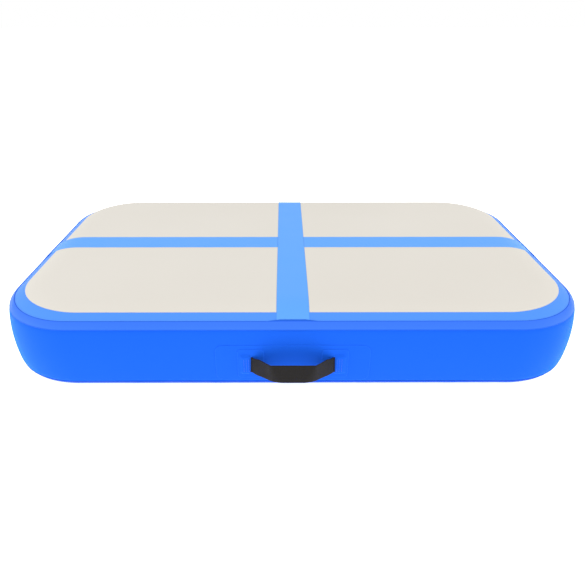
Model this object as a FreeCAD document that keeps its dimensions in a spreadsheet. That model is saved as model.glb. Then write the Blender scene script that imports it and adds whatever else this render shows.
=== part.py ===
"""Air track mat: a drop-stitch air block with a carrying handle on each long side and an inflation valve.

Frame: +X along the length, -Y towards the front handle, +Z up. The origin is on the floor under the
mat's middle. All sizes are in millimetres.
"""
import FreeCAD, Part
import math
import os
import Sketcher

SIZES = {
    # the inflated chamber
    "mat_length": 1000,
    "mat_width": 600,
    "mat_height": 150,
    "corner_radius": 140,       # corners in plan
    "crown_radius": 110,        # the wide arc where the top starts to fall
    "crown_angle": 60,          # slope, in degrees, at which the wide arc meets the shoulder
    "shoulder_radius": 26,      # the tight arc over the rim
    "wall_angle": 9,            # slope, in degrees, at which the shoulder meets the wall
    "skin": 1.0,                # coated fabric
    "seam_angle": 45,           # where the skin meets the side band, under the tape
    "tape": 0.8,
    "tape_low_angle": 26,
    "lap_width": 40,            # strip over the joint in the side band
    "lap_shift": 250,
    # the printed top
    "border": 31,               # from the wall to the edge of the cream panels
    "panel": 0.4,
    "stripe": 0.6,
    "stripe_width": 53,
    # drop-stitch threads
    "thread": 1.2,
    "thread_pitch": 55,
    # carrying handles
    "patch": 0.9,
    "patch_width": 250,
    "patch_tall": 70,
    "patch_corner": 12,
    "handle_drop": 11,          # the webbing's middle is this far below the wall's middle
    "webbing_width": 30,
    "webbing": 2.2,
    "webbing_span": 136,        # between the two slits that it comes out of
    "webbing_reach": 40,        # from the wall to the middle of the loop
    "webbing_bend": 7,
    "webbing_slope": 53,        # degrees
    "tail": 14,                 # sewn length beyond each slit
    "twist_zone": 17,           # the webbing nearer the wall than this doesn't swing
    "rest_tilt": 12,            # degrees
    "anchor_width": 43,
    "anchor_tall": 56,
    "anchor_corner": 6,
    "cover_margin": 4,
    "tack": 1.4,
    "tack_height": 0.6,
    "lay_gap": 0.05,            # between sheets that lie on each other
    # the inflation valve
    "valve_shift": 280,
    "throat": 10.5,             # radius
    "barrel_wall": 3,
    "barrel_depth": 26,
    "flange_width": 9.5,        # beyond the barrel
    "flange": 3,
    "patch_margin": 16,         # beyond the flange
    "gasket": 1.0,
    "gasket_width": 7.5,
    "rim_round": 1,             # of the moulded rims
    "seat_gap": 0.2,
    "nut_width": 7.5,
    "nut": 5,
    "nut_gap": 0.2,             # behind the wall
    "nut_scallop": 3,
    "web_depth": 12,
    "web": 3,
    "air_hole": 2.2,            # radius
    "stem": 2,                  # radius
    "button_radius": 6,
    "button": 2,
    "button_depth": 2,
    "seal_lap": 1.5,            # of the seal disc over the barrel's end
    "seal": 2,
    "clip_radius": 5,
    "clip": 1.5,
    "spring_radius": 5,
    "spring_wire": 0.8,
    "cap_rim": 9.5,             # the cap is this much wider than the throat, each side
    "cap_neck_rim": 4.5,
    "cap_neck_tall": 1.8,
    "cap_disc": 3.6,
    "cap_plug_deep": 4.2,
    "cap_plug_wall": 3.5,
    "cap_seal": 1.0,            # radius of its section
    "cap_scallop": 1.2,
    "tether": 1.2,
    "tether_width": 7,
    "tether_reach": 42,
    "tether_rim": 1.5,
    "ring_wall": 3.4,
    # clearances
    "running": 0.08,
    "air_gap": 0.3,
}

# Sizes that follow from the ones above, as expressions. Each may use those before it.
DERIVED = {
    "crown_sin": "sin(Sizes.crown_angle * 1 deg)",
    "crown_cos": "cos(Sizes.crown_angle * 1 deg)",
    "wall_sin": "sin(Sizes.wall_angle * 1 deg)",
    "wall_cos": "cos(Sizes.wall_angle * 1 deg)",
    "half_height": "Sizes.mat_height / 2",
    "wall_radius": "(Form.half_height - Sizes.crown_radius * (1 - Form.crown_sin)"
                   " - Sizes.shoulder_radius * (Form.crown_sin - Form.wall_sin)) / Form.wall_sin",
    # centres of the three arcs, measured outwards from the corner's axis and up from the floor
    "wall_out": "Sizes.corner_radius - Form.wall_radius",
    "shoulder_out": "Form.wall_out + (Form.wall_radius - Sizes.shoulder_radius) * Form.wall_cos",
    "shoulder_up": "Form.half_height + (Form.wall_radius - Sizes.shoulder_radius) * Form.wall_sin",
    "crown_out": "Form.shoulder_out - (Sizes.crown_radius - Sizes.shoulder_radius) * Form.crown_cos",
    "crown_up": "Form.shoulder_up - (Sizes.crown_radius - Sizes.shoulder_radius) * Form.crown_sin",
    "half_long": "Sizes.mat_length / 2 - Sizes.corner_radius",
    "half_wide": "Sizes.mat_width / 2 - Sizes.corner_radius",
    "half_stripe": "Sizes.stripe_width / 2",
    "border_out": "Sizes.corner_radius - Sizes.border",
    # the wall as the handles and the valve see it: the middle of its arc is behind the wall
    "wall_y": "Sizes.mat_width / 2",
    "handle_up": "Form.half_height - Sizes.handle_drop",
    "slope_sin": "sin(Sizes.webbing_slope * 1 deg)",
    "slope_cos": "cos(Sizes.webbing_slope * 1 deg)",
    "half_webbing": "Sizes.webbing / 2",
    "half_span": "Sizes.webbing_span / 2",
    "tail_out": "Sizes.patch + Form.half_webbing + Sizes.lay_gap",
    # an anchor's cover clears the flat tail where the wall curves away from it
    "tail_fall": "Form.wall_radius"
                 " - sqrt(Form.wall_radius ^ 2 - (Sizes.handle_drop + Sizes.webbing_width / 2) ^ 2)",
    "cover_out": "Form.tail_out + Form.half_webbing + Sizes.patch + Sizes.lay_gap + Form.tail_fall",
    # the webbing's slope: a bend, a straight and a bend back, from the wall to the loop's middle
    "slope_run": "(Sizes.webbing_reach - Form.tail_out"
                 " - 2 * Sizes.webbing_bend * (1 - Form.slope_cos)) / Form.slope_sin",
    "bend_x": "Form.half_span - Sizes.webbing_bend * Form.slope_sin",
    "bend_y": "Form.tail_out + Sizes.webbing_bend * (1 - Form.slope_cos)",
    "loop_x": "Form.bend_x - Form.slope_run * Form.slope_cos - Sizes.webbing_bend * Form.slope_sin",
    "split_x": "Form.bend_x - (Sizes.twist_zone - Form.bend_y) * Form.slope_cos / Form.slope_sin",
    # the valve, along its own axis, from the wall's outer face
    "gasket_base": "Sizes.patch + 2 * Sizes.lay_gap",
    "ring_base": "Form.gasket_base + Sizes.gasket",
    "flange_base": "Form.ring_base + Sizes.tether",
    "flange_top": "Form.flange_base + Sizes.flange",
    "barrel_radius": "Sizes.throat + Sizes.barrel_wall",
    "barrel_bore": "Form.barrel_radius + Sizes.running",
    "flange_radius": "Form.barrel_radius + Sizes.flange_width",
    "nut_radius": "Form.barrel_radius + Sizes.nut_width",
    "nut_fall": "Form.wall_radius - sqrt(Form.wall_radius ^ 2 - Form.nut_radius ^ 2)",
    "nut_top": "-(Sizes.skin + Form.nut_fall + Sizes.nut_gap)",
    "valve_patch": "2 * (Form.flange_radius + Sizes.patch_margin)",
    "cap_radius": "Sizes.throat + Sizes.cap_rim",
    "cap_neck": "Sizes.throat + Sizes.cap_neck_rim",
    "cap_base": "Form.flange_top + Sizes.air_gap",
    "cap_neck_top": "Form.cap_base + Sizes.cap_neck_tall",
    "cap_top": "Form.cap_neck_top + Sizes.cap_disc",
    "plug_radius": "Sizes.throat - 2 * Sizes.air_gap",
    "ring_radius": "Form.cap_neck + Sizes.running",
    "ring_low": "Form.cap_base + (Sizes.cap_neck_tall - Sizes.tether) / 2",
}

doc = FreeCAD.newDocument("air_track_mat")
sheet = doc.addObject("Spreadsheet::Sheet", "Sizes")
for row, (alias, size) in enumerate(SIZES.items(), 1):
    sheet.set(f"A{row}", alias)
    sheet.set(f"B{row}", str(size))
    sheet.setAlias(f"B{row}", alias)
doc.recompute()

form = doc.addObject("App::VarSet", "Form")
for name, formula in DERIVED.items():
    form.addProperty("App::PropertyFloat", name)
    form.setExpression(name, formula)
    doc.recompute()

FRONT, BACK = 0, 180    # turn about Z, in degrees, that carries a front piece to its side
TACK_SHARES = 0.2, 0.5, 0.8     # of the tail's length, where the stitching crosses it
AIR_HOLES, NUT_SCALLOPS, CAP_SCALLOPS = 6, 8, 18
THROUGH_WALL = "-Sizes.barrel_depth", "Sizes.barrel_depth"      # a bar that cuts right through the wall
Z_AXIS = FreeCAD.Vector(0, 0, 1)
kept = []               # the sub-parts, in the order that they are made


def value(formula):
    """The number that an expression gives."""
    return float(sheet.evalExpression(formula))


def keep(piece, label):
    """Name a finished sub-part. Its label is also its file's name."""
    piece.Label = label
    kept.append(piece)
    return piece


# ---------------------------------------------------------------- sketches

def origin_plane(body, role):
    return next(plane for plane in body.Origin.OriginFeatures if plane.Role == role)


def new_sketch(body, role, offset=("0", "0", "0")):
    """A sketch on one of the body's origin planes, moved by offset along the plane's own axes."""
    sketch = body.newObject("Sketcher::SketchObject", "section")
    sketch.AttachmentSupport = [(origin_plane(body, role), "")]
    sketch.MapMode = "FlatFace"
    for axis, formula in zip("xyz", offset):
        if formula != "0":
            sketch.setExpression(f".AttachmentOffset.Base.{axis}", formula)
    return sketch


def arc_through(start, end, radius, turn):
    """The short arc from start to end that turns left (+1) or right (-1), and which end of it is start."""
    chord = end - start
    rise = math.sqrt(max(radius ** 2 - chord.Length ** 2 / 4, 0))
    side = FreeCAD.Vector(-chord.y, chord.x, 0).normalize() * turn
    centre = (start + end) / 2 + side * rise
    angles = [math.atan2(p.y - centre.y, p.x - centre.x) for p in (start, end)]
    if turn < 0:
        angles.reverse()
    circle = Part.Circle(centre, Z_AXIS, radius)
    return Part.ArcOfCircle(circle, *angles), 1 if turn > 0 else 2


def draw(sketch, corners, arcs=None):
    """Draw a closed outline. corners are pairs of expressions; arcs gives the radius and the turn of the
    edge that leaves a corner, by its number. Every corner and radius is bound to its expression."""
    arcs = arcs or {}
    points = [FreeCAD.Vector(value(x), value(y), 0) for x, y in corners]
    edges = []
    for i, start in enumerate(points):
        end = points[(i + 1) % len(points)]
        if i in arcs:
            radius, turn = arcs[i]
            arc, first = arc_through(start, end, value(radius), turn)
            edge = sketch.addGeometry(arc)
            bound = sketch.addConstraint(Sketcher.Constraint("Radius", edge, value(radius)))
            sketch.setExpression(f"Constraints[{bound}]", radius)
        else:
            edge, first = sketch.addGeometry(Part.LineSegment(start, end)), 1
        edges.append((edge, first, 3 - first))
    for i, (x, y) in enumerate(corners):
        edge, first, _ = edges[i]
        before, _, last = edges[i - 1]
        sketch.addConstraint(Sketcher.Constraint("Coincident", before, last, edge, first))
        for kind, formula in (("DistanceX", x), ("DistanceY", y)):
            bound = sketch.addConstraint(Sketcher.Constraint(kind, -1, 1, edge, first, value(formula)))
            sketch.setExpression(f"Constraints[{bound}]", formula)
    return sketch


def pad(body, sketch, length, both_ways=False, backwards=False):
    """Extrude a sketch along its normal, by half the length each way if both_ways."""
    feature = body.newObject("PartDesign::Pad", "pad")
    feature.Profile = sketch
    feature.Midplane = both_ways
    feature.Reversed = backwards
    feature.setExpression("Length", length)
    return feature


def revolve(body, sketch, degrees, backwards=False):
    """Turn a sketch about its own vertical axis."""
    feature = body.newObject("PartDesign::Revolution", "turn")
    feature.Profile = sketch
    feature.ReferenceAxis = (sketch, ["V_Axis"])
    feature.Angle = degrees
    feature.Reversed = backwards
    return feature


def mirror(body, features, role):
    """Repeat features on the other side of an origin plane, and make the result the body's tip."""
    feature = body.newObject("PartDesign::Mirrored", "mirror")
    feature.Originals = features
    feature.MirrorPlane = (origin_plane(body, role), [""])
    body.Tip = feature
    return feature


def mirrored_copy(piece, normal, label, height="0"):
    """A sub-part that is the mirror image of another, across a plane through the origin or at a height."""
    copy = doc.addObject("Part::Mirroring", label)
    copy.Source = piece
    copy.Normal = normal
    if height != "0":
        copy.setExpression(".Base.z", height)
    return keep(copy, label)


# ---------------------------------------------------------------- the chamber's edge, all the way round

def shoulder(angle, out):
    """A point on the shoulder where its slope is angle, standing out from the surface."""
    reach = f"(Sizes.shoulder_radius + {out})"
    return (f"Form.shoulder_out + {reach} * cos({angle} * 1 deg)",
            f"Form.shoulder_up + {reach} * sin({angle} * 1 deg)")


def crown(out):
    """The point where the crown's arc runs into the flat top."""
    return "Form.crown_out", f"Form.crown_up + Sizes.crown_radius + {out}"


def below(point):
    """The same point on the underside."""
    return point[0], f"Sizes.mat_height - ({point[1]})"


def edge_band(label, corners, arcs, flat=None, shift_x="0", shift_y="0", whole=True):
    """Carry a section round the chamber. It is turned at one corner and extruded along two sides, and
    flat, a pair of heights, fills the middle between them. shift_x and shift_y stop it short of the
    middle lines. A whole band is then mirrored to the other three quarters."""
    body = doc.addObject("PartDesign::Body", label)
    side = new_sketch(body, "XZ_Plane", ("Form.half_long", "0", "-Form.half_wide"))
    draw(side, corners, arcs)
    end = new_sketch(body, "YZ_Plane", ("Form.half_wide", "0", "Form.half_long"))
    draw(end, corners, arcs)
    features = [
        revolve(body, side, 90),
        pad(body, side, f"Form.half_wide - {shift_y}"),
        pad(body, end, f"Form.half_long - {shift_x}", backwards=True),
    ]
    if flat:
        middle = new_sketch(body, "XY_Plane", ("0", "0", flat[0]))
        draw(middle, [(shift_x, shift_y), ("Form.half_long", shift_y),
                      ("Form.half_long", "Form.half_wide"), (shift_x, "Form.half_wide")])
        features.append(pad(body, middle, f"{flat[1]} - ({flat[0]})"))
    doc.recompute()
    if whole:
        for role in ("XZ_Plane", "YZ_Plane"):
            half = body.newObject("PartDesign::Mirrored", "mirror")
            half.TransformMode = "Whole shape"
            half.MirrorPlane = (origin_plane(body, role), [""])
            body.Tip = half
            doc.recompute()
    return keep(body, label)


def make_skins():
    inner = "(-Sizes.skin)"
    top_corners = [
        shoulder("Sizes.seam_angle", "0"), shoulder("Sizes.crown_angle", "0"), crown("0"),
        ("0", crown("0")[1]),
        ("0", crown(inner)[1]), crown(inner), shoulder("Sizes.crown_angle", inner),
        shoulder("Sizes.seam_angle", inner),
    ]
    top_arcs = {0: ("Sizes.shoulder_radius", 1), 1: ("Sizes.crown_radius", 1),
                5: ("Sizes.crown_radius - Sizes.skin", -1), 6: ("Sizes.shoulder_radius - Sizes.skin", -1)}
    top = edge_band("top_skin", top_corners, top_arcs,
                    flat=("Sizes.mat_height - Sizes.skin", "Sizes.mat_height"))
    mirrored_copy(top, Z_AXIS, "bottom_skin", "Form.half_height")


def make_side_band():
    inner = "(-Sizes.skin)"
    outside = [shoulder("Sizes.wall_angle", "0"), shoulder("Sizes.seam_angle", "0")]
    inside = [shoulder("Sizes.seam_angle", inner), shoulder("Sizes.wall_angle", inner)]
    corners = [below(p) for p in reversed(outside)] + outside + inside + [below(p) for p in reversed(inside)]
    arcs = {0: ("Sizes.shoulder_radius", 1), 1: ("Form.wall_radius", 1), 2: ("Sizes.shoulder_radius", 1),
            4: ("Sizes.shoulder_radius - Sizes.skin", -1), 5: ("Form.wall_radius - Sizes.skin", -1),
            6: ("Sizes.shoulder_radius - Sizes.skin", -1)}
    band = edge_band("side_band_blank", corners, arcs)
    kept.remove(band)
    hole = valve_bar("valve_hole", "Form.barrel_bore", *THROUGH_WALL)
    keep(cut(band, hole), "side_band")


def make_rim_tapes():
    low, high = "Sizes.tape_low_angle", "Sizes.crown_angle"
    corners = [shoulder(low, "0"), shoulder(low, "Sizes.tape"), shoulder(high, "Sizes.tape"),
               shoulder(high, "0")]
    arcs = {1: ("Sizes.shoulder_radius + Sizes.tape", 1), 3: ("Sizes.shoulder_radius", -1)}
    tape = edge_band("top_rim_tape", corners, arcs)
    mirrored_copy(tape, Z_AXIS, "bottom_rim_tape", "Form.half_height")


def make_panels():
    """Four cream panels: one is made in full and the rest are its mirror images."""
    fall = "sqrt((Sizes.crown_radius + {0}) ^ 2 - (Form.border_out - Form.crown_out) ^ 2)"
    corners = [
        ("Form.border_out", "Form.crown_up + " + fall.format("0")),
        ("Form.border_out", "Form.crown_up + " + fall.format("Sizes.panel")),
        crown("Sizes.panel"), ("0", crown("Sizes.panel")[1]), ("0", crown("0")[1]), crown("0"),
    ]
    arcs = {1: ("Sizes.crown_radius + Sizes.panel", 1), 5: ("Sizes.crown_radius", -1)}
    panel = edge_band("panel_rear_right", corners, arcs,
                      flat=("Sizes.mat_height", "Sizes.mat_height + Sizes.panel"),
                      shift_x="Form.half_stripe", shift_y="Form.half_stripe", whole=False)
    left, front = FreeCAD.Vector(1, 0, 0), FreeCAD.Vector(0, 1, 0)
    rear_left = mirrored_copy(panel, left, "panel_rear_left")
    mirrored_copy(panel, front, "panel_front_right")
    mirrored_copy(rear_left, front, "panel_front_left")


def stripe(label, role, middle, stop, turned_sketch):
    """A tape over the top, from rim tape to rim tape, or, where stop isn't zero, only its right end."""
    body = doc.addObject("PartDesign::Body", label)
    section = new_sketch(body, role)
    crown_end = shoulder("Sizes.crown_angle", "0")
    crown_rise = shoulder("Sizes.crown_angle", "Sizes.stripe")
    corners = [(f"{middle} + {crown_end[0]}", crown_end[1]), (f"{middle} + {crown_rise[0]}", crown_rise[1]),
               (f"{middle} + Form.crown_out", crown("Sizes.stripe")[1]), (stop, crown("Sizes.stripe")[1]),
               (stop, crown("0")[1]), (f"{middle} + Form.crown_out", crown("0")[1])]
    arcs = {1: ("Sizes.crown_radius + Sizes.stripe", 1), 5: ("Sizes.crown_radius", -1)}
    draw(section, corners, arcs)
    half = pad(body, section, "Sizes.stripe_width", both_ways=True)
    doc.recompute()
    mirror(body, [half], turned_sketch)
    return body


def make_stripes():
    """The crosswise tape runs right across; the lengthwise one is two lengths that butt against it."""
    across = stripe("stripe_crosswise", "YZ_Plane", "Form.half_wide", "0", "XZ_Plane")
    keep(across, "stripe_crosswise")
    along = stripe("stripe_lengthwise", "XZ_Plane", "Form.half_long", "Form.half_stripe", "YZ_Plane")
    keep(along, "stripe_lengthwise")


def make_threads():
    """The drop-stitch threads that hold the two skins a fixed distance apart, over the flat of the mat,
    which is a rectangle with rounded corners."""
    pitch, radius = value("Sizes.thread_pitch"), value("Sizes.thread / 2")
    half_long, half_wide = value("Form.half_long"), value("Form.half_wide")
    flat = value("Form.crown_out") - radius
    body = doc.addObject("PartDesign::Body", "threads")
    base = new_sketch(body, "XY_Plane", ("0", "0", "Sizes.skin"))
    rows, columns = int((half_wide + flat) / pitch), int((half_long + flat) / pitch)
    for i in range(-columns, columns + 1):
        for j in range(-rows, rows + 1):
            place = FreeCAD.Vector(i * pitch, j * pitch, 0)
            if math.hypot(max(abs(place.x) - half_long, 0), max(abs(place.y) - half_wide, 0)) <= flat:
                base.addGeometry(Part.Circle(place, Z_AXIS, radius))
    pad(body, base, "Sizes.mat_height - 2 * Sizes.skin")
    keep(body, "drop_stitch_threads")


# ---------------------------------------------------------------- sheets on the long walls

def turned(piece, degrees):
    piece.Placement = FreeCAD.Placement(FreeCAD.Vector(), FreeCAD.Rotation(Z_AXIS, degrees))
    return piece


def wall_sheet(label, middle, width, low, high, under, over, corner=None):
    """A sheet that follows the front wall's curve, from one height to another. under and over are how far
    its two faces stand out from the wall. corner is the radius of its rounded corners."""
    body = doc.addObject("PartDesign::Body", label)
    section = new_sketch(body, "YZ_Plane", ("0", "0", middle))

    def on_wall(up, out):
        reach = f"sqrt((Form.wall_radius + {out}) ^ 2 - ({up} - Form.half_height) ^ 2)"
        return f"-(Form.wall_y - Form.wall_radius) - {reach}", up

    corners = [on_wall(low, under), on_wall(low, over), on_wall(high, over), on_wall(high, under)]
    arcs = {1: (f"Form.wall_radius + {over}", -1), 3: (f"Form.wall_radius + {under}", 1)}
    draw(section, corners, arcs)
    pad(body, section, width, both_ways=True)
    if not corner:
        return body
    # a bar with rounded corners, as wide and tall as the sheet, trims it
    plan = doc.addObject("PartDesign::Body", f"{label}_plan")
    left, right = f"{middle} - {width} / 2", f"{middle} + {width} / 2"
    outline = [(f"{left} + {corner}", low), (f"{right} - {corner}", low), (right, f"{low} + {corner}"),
               (right, f"{high} - {corner}"), (f"{right} - {corner}", high), (f"{left} + {corner}", high),
               (left, f"{high} - {corner}"), (left, f"{low} + {corner}")]
    rounds = {i: (corner, 1) for i in (1, 3, 5, 7)}
    pad(plan, draw(new_sketch(plan, "XZ_Plane"), outline, rounds), "Sizes.mat_width")
    trimmed = doc.addObject("Part::Common", f"{label}_trimmed")
    trimmed.Base, trimmed.Tool = body, plan
    return trimmed


def cut(piece, tool):
    result = doc.addObject("Part::Cut", "cut")
    result.Base, result.Tool = piece, tool
    return result


def fuse(*pieces):
    result = doc.addObject("Part::MultiFuse", "fuse")
    result.Shapes = list(pieces)
    result.Refine = True
    return result


def box(x, y, z, length, width, height):
    """A box from its lowest corner and its sizes, all expressions."""
    block = doc.addObject("Part::Box", "block")
    for prop, formula in (("Length", length), ("Width", width), ("Height", height),
                          (".Placement.Base.x", x), (".Placement.Base.y", y), (".Placement.Base.z", z)):
        block.setExpression(prop, formula)
    return block


# ---------------------------------------------------------------- carrying handles

def webbing_body(label, corners, arcs):
    """A flat strap standing on edge, drawn from above and extruded about the handle's height."""
    body = doc.addObject("PartDesign::Body", label)
    plan = draw(new_sketch(body, "XY_Plane", ("0", "0", "Form.handle_up")), corners, arcs)
    pad(body, plan, "Sizes.webbing_width", both_ways=True)
    return body


def slope_point(x, y, out):
    """A point beside the middle of the strap's slope, out from it along its normal."""
    return f"{x} + {out} * Form.slope_sin", f"-(Form.wall_y + {y} + {out} * Form.slope_cos)"


def make_loop(side, turn):
    """The part of the webbing that swings: two slopes, two bends and the middle, tilted up at rest."""
    half, split_y = "Form.half_webbing", "Sizes.twist_zone"
    clear_x = "Form.split_x - Sizes.air_gap"
    # where each face of the slope crosses the plane between the loop and the tail
    skew = f"{half} / Form.slope_cos"
    slope = "Form.slope_sin / Form.slope_cos"
    end_y = f"{split_y} + Sizes.air_gap * {slope}"
    outer_end = (clear_x, f"-(Form.wall_y + {end_y} + {skew})")
    inner_end = (clear_x, f"-(Form.wall_y + {end_y} - {skew})")
    bend_x = "Form.loop_x + Sizes.webbing_bend * Form.slope_sin"
    bend_y = "Sizes.webbing_reach - Sizes.webbing_bend * (1 - Form.slope_cos)"
    right = [inner_end, outer_end, slope_point(bend_x, bend_y, half),
             ("Form.loop_x", f"-(Form.wall_y + Sizes.webbing_reach + {half})")]
    back = [("Form.loop_x", f"-(Form.wall_y + Sizes.webbing_reach - {half})"),
            slope_point(bend_x, bend_y, f"(-{half})")]
    left = [(f"-({x})", y) for x, y in reversed(right)]
    left_back = [(f"-({x})", y) for x, y in reversed(back)]
    corners = right + left + left_back + list(back)
    outer, inner = f"Sizes.webbing_bend + {half}", f"Sizes.webbing_bend - {half}"
    arcs = {2: (outer, -1), 4: (outer, -1), 8: (inner, 1), 10: (inner, 1)}
    loop = webbing_body(f"{side}_handle_loop", corners, arcs)
    hinge = FreeCAD.Vector(0, -value("Form.wall_y"), value("Form.handle_up"))
    tilt = FreeCAD.Rotation(FreeCAD.Vector(1, 0, 0), -value("Sizes.rest_tilt"))
    lean = FreeCAD.Placement(FreeCAD.Vector(), tilt, hinge)
    loop.Placement = FreeCAD.Placement(FreeCAD.Vector(), FreeCAD.Rotation(Z_AXIS, turn)) * lean
    keep(loop, f"{side}_handle_loop")


def make_tail(side, turn):
    """One end of the webbing: sewn flat under the anchor, then out through the slit and up its slope."""
    half = "Form.half_webbing"
    skew = f"{half} / Form.slope_cos"
    middle, reach = "Form.tail_out", "Sizes.twist_zone"
    corners = [
        ("Form.half_span + Sizes.tail", f"-(Form.wall_y + {middle} - {half})"),
        ("Form.half_span + Sizes.tail", f"-(Form.wall_y + {middle} + {half})"),
        ("Form.half_span", f"-(Form.wall_y + {middle} + {half})"),
        slope_point("Form.bend_x", "Form.bend_y", half),
        ("Form.split_x", f"-(Form.wall_y + {reach} + {skew})"),
        ("Form.split_x", f"-(Form.wall_y + {reach} - {skew})"),
        slope_point("Form.bend_x", "Form.bend_y", f"(-{half})"),
        ("Form.half_span", f"-(Form.wall_y + {middle} - {half})"),
    ]
    outer, inner = f"Sizes.webbing_bend - {half}", f"Sizes.webbing_bend + {half}"
    arcs = {2: (outer, 1), 6: (inner, -1)}
    return turned(webbing_body(f"{side}_tail", corners, arcs), turn)


def make_anchor(side, turn):
    """The patch that holds one end of the webbing: a flange and, past the slit, a cover over the tail."""
    low = "Form.handle_up - Sizes.anchor_tall / 2"
    high = "Form.handle_up + Sizes.anchor_tall / 2"
    flange_out = "2 * Sizes.patch"
    flange = wall_sheet(f"{side}_flange", "Form.half_span", "Sizes.anchor_width", low, high,
                        "Sizes.patch", flange_out, "Sizes.anchor_corner")
    cover_low = "Form.handle_up - Sizes.webbing_width / 2 - Sizes.cover_margin"
    cover_high = "Form.handle_up + Sizes.webbing_width / 2 + Sizes.cover_margin"
    cover_width = "(Sizes.tail + Sizes.cover_margin)"
    cover = wall_sheet(f"{side}_cover", f"Form.half_span + {cover_width} / 2", cover_width,
                       cover_low, cover_high, "Sizes.patch", "Form.cover_out")
    whole = fuse(flange, cover)
    # the room that the tail takes, with the slit's mouth
    room = box("Form.half_span - Sizes.anchor_width", "-(Form.wall_y + Form.tail_out + Form.half_webbing)",
               "Form.handle_up - Sizes.webbing_width / 2", "Sizes.anchor_width + Sizes.tail",
               "Sizes.webbing + Sizes.lay_gap + Sizes.patch", "Sizes.webbing_width")
    return turned(cut(whole, room), turn)


def make_tacks(side, turn):
    """Three bars of stitching through the cover, the tail and the patch."""
    bars = []
    for share in TACK_SHARES:
        bar = wall_sheet(f"{side}_tack", f"Form.half_span + Sizes.tail * {share}", "Sizes.tack",
                         "Form.handle_up - Sizes.webbing_width / 2 + Sizes.cover_margin",
                         "Form.handle_up + Sizes.webbing_width / 2 - Sizes.cover_margin",
                         "Form.cover_out", "Form.cover_out + Sizes.tack_height")
        bars.append(turned(bar, turn))
    return fuse(*bars)


def make_handle(side, turn):
    """All of one carrying handle: the patch on the wall, two anchors, the webbing and its stitches."""
    patch = wall_sheet(f"{side}_patch", "0", "Sizes.patch_width", "Form.handle_up - Sizes.patch_tall / 2",
                       "Form.handle_up + Sizes.patch_tall / 2", "0", "Sizes.patch", "Sizes.patch_corner")
    keep(turned(patch, turn), f"{side}_handle_patch")
    across = FreeCAD.Vector(1, 0, 0)
    near, far = ("right", "left") if turn == FRONT else ("left", "right")
    for make, what in ((make_anchor, "anchor"), (make_tail, "tail"), (make_tacks, "stitches")):
        piece = keep(make(side, turn), f"{side}_handle_{near}_{what}")
        mirrored_copy(piece, across, f"{side}_handle_{far}_{what}")
    make_loop(side, turn)


# ---------------------------------------------------------------- the inflation valve, on the back wall

def at_valve(piece, up="0"):
    """Set a piece made about its own Z axis at the valve, with that axis pointing out of the back wall."""
    along, out = -value("Sizes.valve_shift"), value(f"Form.wall_y + {up}")
    place = FreeCAD.Vector(along, out, value("Form.half_height"))
    piece.Placement = FreeCAD.Placement(place, FreeCAD.Rotation(FreeCAD.Vector(1, 0, 0), -90))
    return piece


def valve_bar(label, radius, low, high):
    """A round bar along the valve's axis, from one distance out of the wall to another."""
    bar = doc.addObject("Part::Cylinder", label)
    bar.setExpression("Radius", radius)
    bar.setExpression("Height", f"{high} - ({low})")
    return at_valve(bar, low)


def valve_turning(label, corners, arcs=None):
    """A piece of the valve turned from its section."""
    body = doc.addObject("PartDesign::Body", label)
    revolve(body, draw(new_sketch(body, "XZ_Plane"), corners, arcs), 360)
    return at_valve(body)


def ring(label, inner, outer, low, high):
    return keep(valve_turning(label, [(inner, low), (outer, low), (outer, high), (inner, high)]), label)


def drill_round(body, radius, ring_radius, count, low, high):
    """Cut a ring of round holes or scallops along the valve's axis, between two heights."""
    doc.recompute()
    circle = new_sketch(body, "XY_Plane", ("0", "0", high))
    edge = circle.addGeometry(Part.Circle(FreeCAD.Vector(value(ring_radius), 0, 0), Z_AXIS, value(radius)))
    circle.addConstraint(Sketcher.Constraint("PointOnObject", edge, 3, -1))
    for kind, formula, place in (("Radius", radius, (edge,)), ("DistanceX", ring_radius, (-1, 1, edge, 3))):
        bound = circle.addConstraint(Sketcher.Constraint(kind, *place, value(formula)))
        circle.setExpression(f"Constraints[{bound}]", formula)
    hole = body.newObject("PartDesign::Pocket", "hole")
    hole.Profile = circle
    hole.setExpression("Length", f"{high} - ({low})")
    doc.recompute()
    pattern = body.newObject("PartDesign::PolarPattern", "holes")
    pattern.Originals = [hole]
    pattern.Axis = (origin_plane(body, "Z_Axis"), [""])
    pattern.Angle = 360
    pattern.Occurrences = count
    body.Tip = pattern
    return body


def make_valve_body():
    guide, web_base = "Sizes.stem + Sizes.running", "-Sizes.web_depth - Sizes.web"
    corners = [
        ("Sizes.throat", "Form.flange_top"), ("Form.flange_radius - Sizes.rim_round", "Form.flange_top"),
        ("Form.flange_radius", "Form.flange_top - Sizes.rim_round"),
        ("Form.flange_radius", "Form.flange_base"),
        ("Form.barrel_radius", "Form.flange_base"), ("Form.barrel_radius", "-Sizes.barrel_depth"),
        ("Sizes.throat", "-Sizes.barrel_depth"), ("Sizes.throat", web_base), (guide, web_base),
        (guide, "-Sizes.web_depth"), ("Sizes.throat", "-Sizes.web_depth"),
    ]
    body = valve_turning("valve_body", corners, {1: ("Sizes.rim_round", -1)})
    drill_round(body, "Sizes.air_hole", "(Sizes.stem + Sizes.throat) / 2", AIR_HOLES,
                web_base, "-Sizes.web_depth")
    keep(body, "valve_body")


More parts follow.
